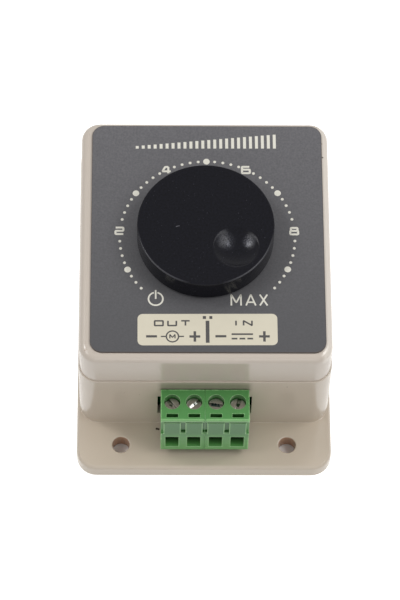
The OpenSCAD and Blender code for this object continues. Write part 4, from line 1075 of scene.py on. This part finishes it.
# Pale edges: rubbed wear and a painted highlight, broken up in patches.
rub, rub_soft, plug_back = 0.2 * mm, 0.08 * mm, -32.2 * mm
patch_size, patch_level = 0.9 * mm, (0.45, 0.3)
at_side = above(plug_side, plug_high.x - rub, rub_soft)
at_top = above(plug_z, plug_high.z - rub, rub_soft)
at_face = above(plug_y, front + rub, -rub_soft)
at_back = above(plug_y, plug_back - rub, rub_soft)
rubbed_and_highlit = product(at_side, at_top)
for one, other in ((at_side, at_face), (at_top, at_face), (at_top, at_back)):
    rubbed_and_highlit = calculate("MAXIMUM", rubbed_and_highlit, product(one, other))
patchy = above(noise(plug_plastic, patch_size), *patch_level)
painted_over(plug_plastic, edge_wear_and_highlight, product(rubbed_and_highlit, patchy))

plug_edges = moulded("plug_edges", edge_wear_and_highlight, 0.3, shade=0.04, blotch=1 * mm, grain=0.2 * mm)
edge_x, _, edge_z = own_axes(plug_edges)
from_seam = calculate("ABSOLUTE", edge_x)
# The edge rounds near the seam keep the plain green, and those in the grooves get painted shade.
plain_edge_half, groove_half, groove_soft, groove_painted_shade = 0.3 * mm, 0.4 * mm, 0.1 * mm, (48, 92, 52)
painted_where(plug_edges, plug_colour, (from_seam, plain_edge_half, -groove_soft))
painted_where(plug_edges, groove_painted_shade, (from_seam, groove_half, -groove_soft),
              (edge_z, block_foot, groove_soft), (edge_z, block_head, -groove_soft))
finish_of(plug, plug_plastic, "plug", "plug", "plug_housing")
plug.data.materials.append(plug_edges)
dress(plated("tinned_brass", (206, 190, 150), 0.28), "plug_contacts")

# The clamp screws: zinc plated steel, a flat head with a slot, one to each pole. Each turns in its well
# and draws its cage up under the current bar. Dark marks are painted in the slots, and a painted
# highlight along the second one.
screw_steel = plated("screw_plating", (160, 156, 146), 0.3, grain=0.1 * mm, tarnish=0.14,
                     relief=0.006 * mm)
cage_steel = plated("cage_plating", (186, 182, 168), 0.3, grain=0.12 * mm)
screw_edge = 0.14 * mm
screw_y = -35.35 * mm
# Dark marks in the slots, and a painted highlight along the second slot's floor.
screw_marks = {
    "dark mark in the first slot": (-7.95, 0.1, 0.42, (66, 76, 62)),
    "end of the painted highlight in the second slot": (-3.28, -0.2, 0.25, (244, 245, 242)),
    "near part of the painted highlight": (-2.98, 0.04, 0.25, (244, 245, 242)),
    "middle of the painted highlight": (-2.67, 0.29, 0.25, (244, 245, 242)),
    "far part of the painted highlight": (-2.36, 0.54, 0.25, (244, 245, 242)),
    "far end of the painted highlight": (-2.06, 0.78, 0.25, (232, 234, 230)),
    "dark mark in the second slot": (-2.46, 0.48, 0.2, (60, 70, 62)),
    "left end of the dark third slot": (1.75, 0.2, 0.38, (62, 78, 74)),
    "middle of the dark third slot": (2.4, 0.1, 0.4, (62, 78, 74)),
    "right end of the dark third slot": (3.1, -0.02, 0.38, (70, 84, 80)),
    "dark mark in the last slot": (7.75, 0.3, 0.45, (48, 66, 46)),
}
screw_mark_soft = 0.14 * mm
for x, y, reach, mark_colour in screw_marks.values():
    mark = near(screw_steel, (x * mm, screw_y + y * mm, None), reach * mm, screw_mark_soft)
    painted_over(screw_steel, mark_colour, mark)
for n in range(1, 5):
    screw = softened(f"clamp_screw_{n}", screw_edge)
    finish_of(screw, screw_steel, "screw_steel", f"screw_{n}", f"clamp_screw_{n}")
    dress(cage_steel, f"clamp_cage_{n}")
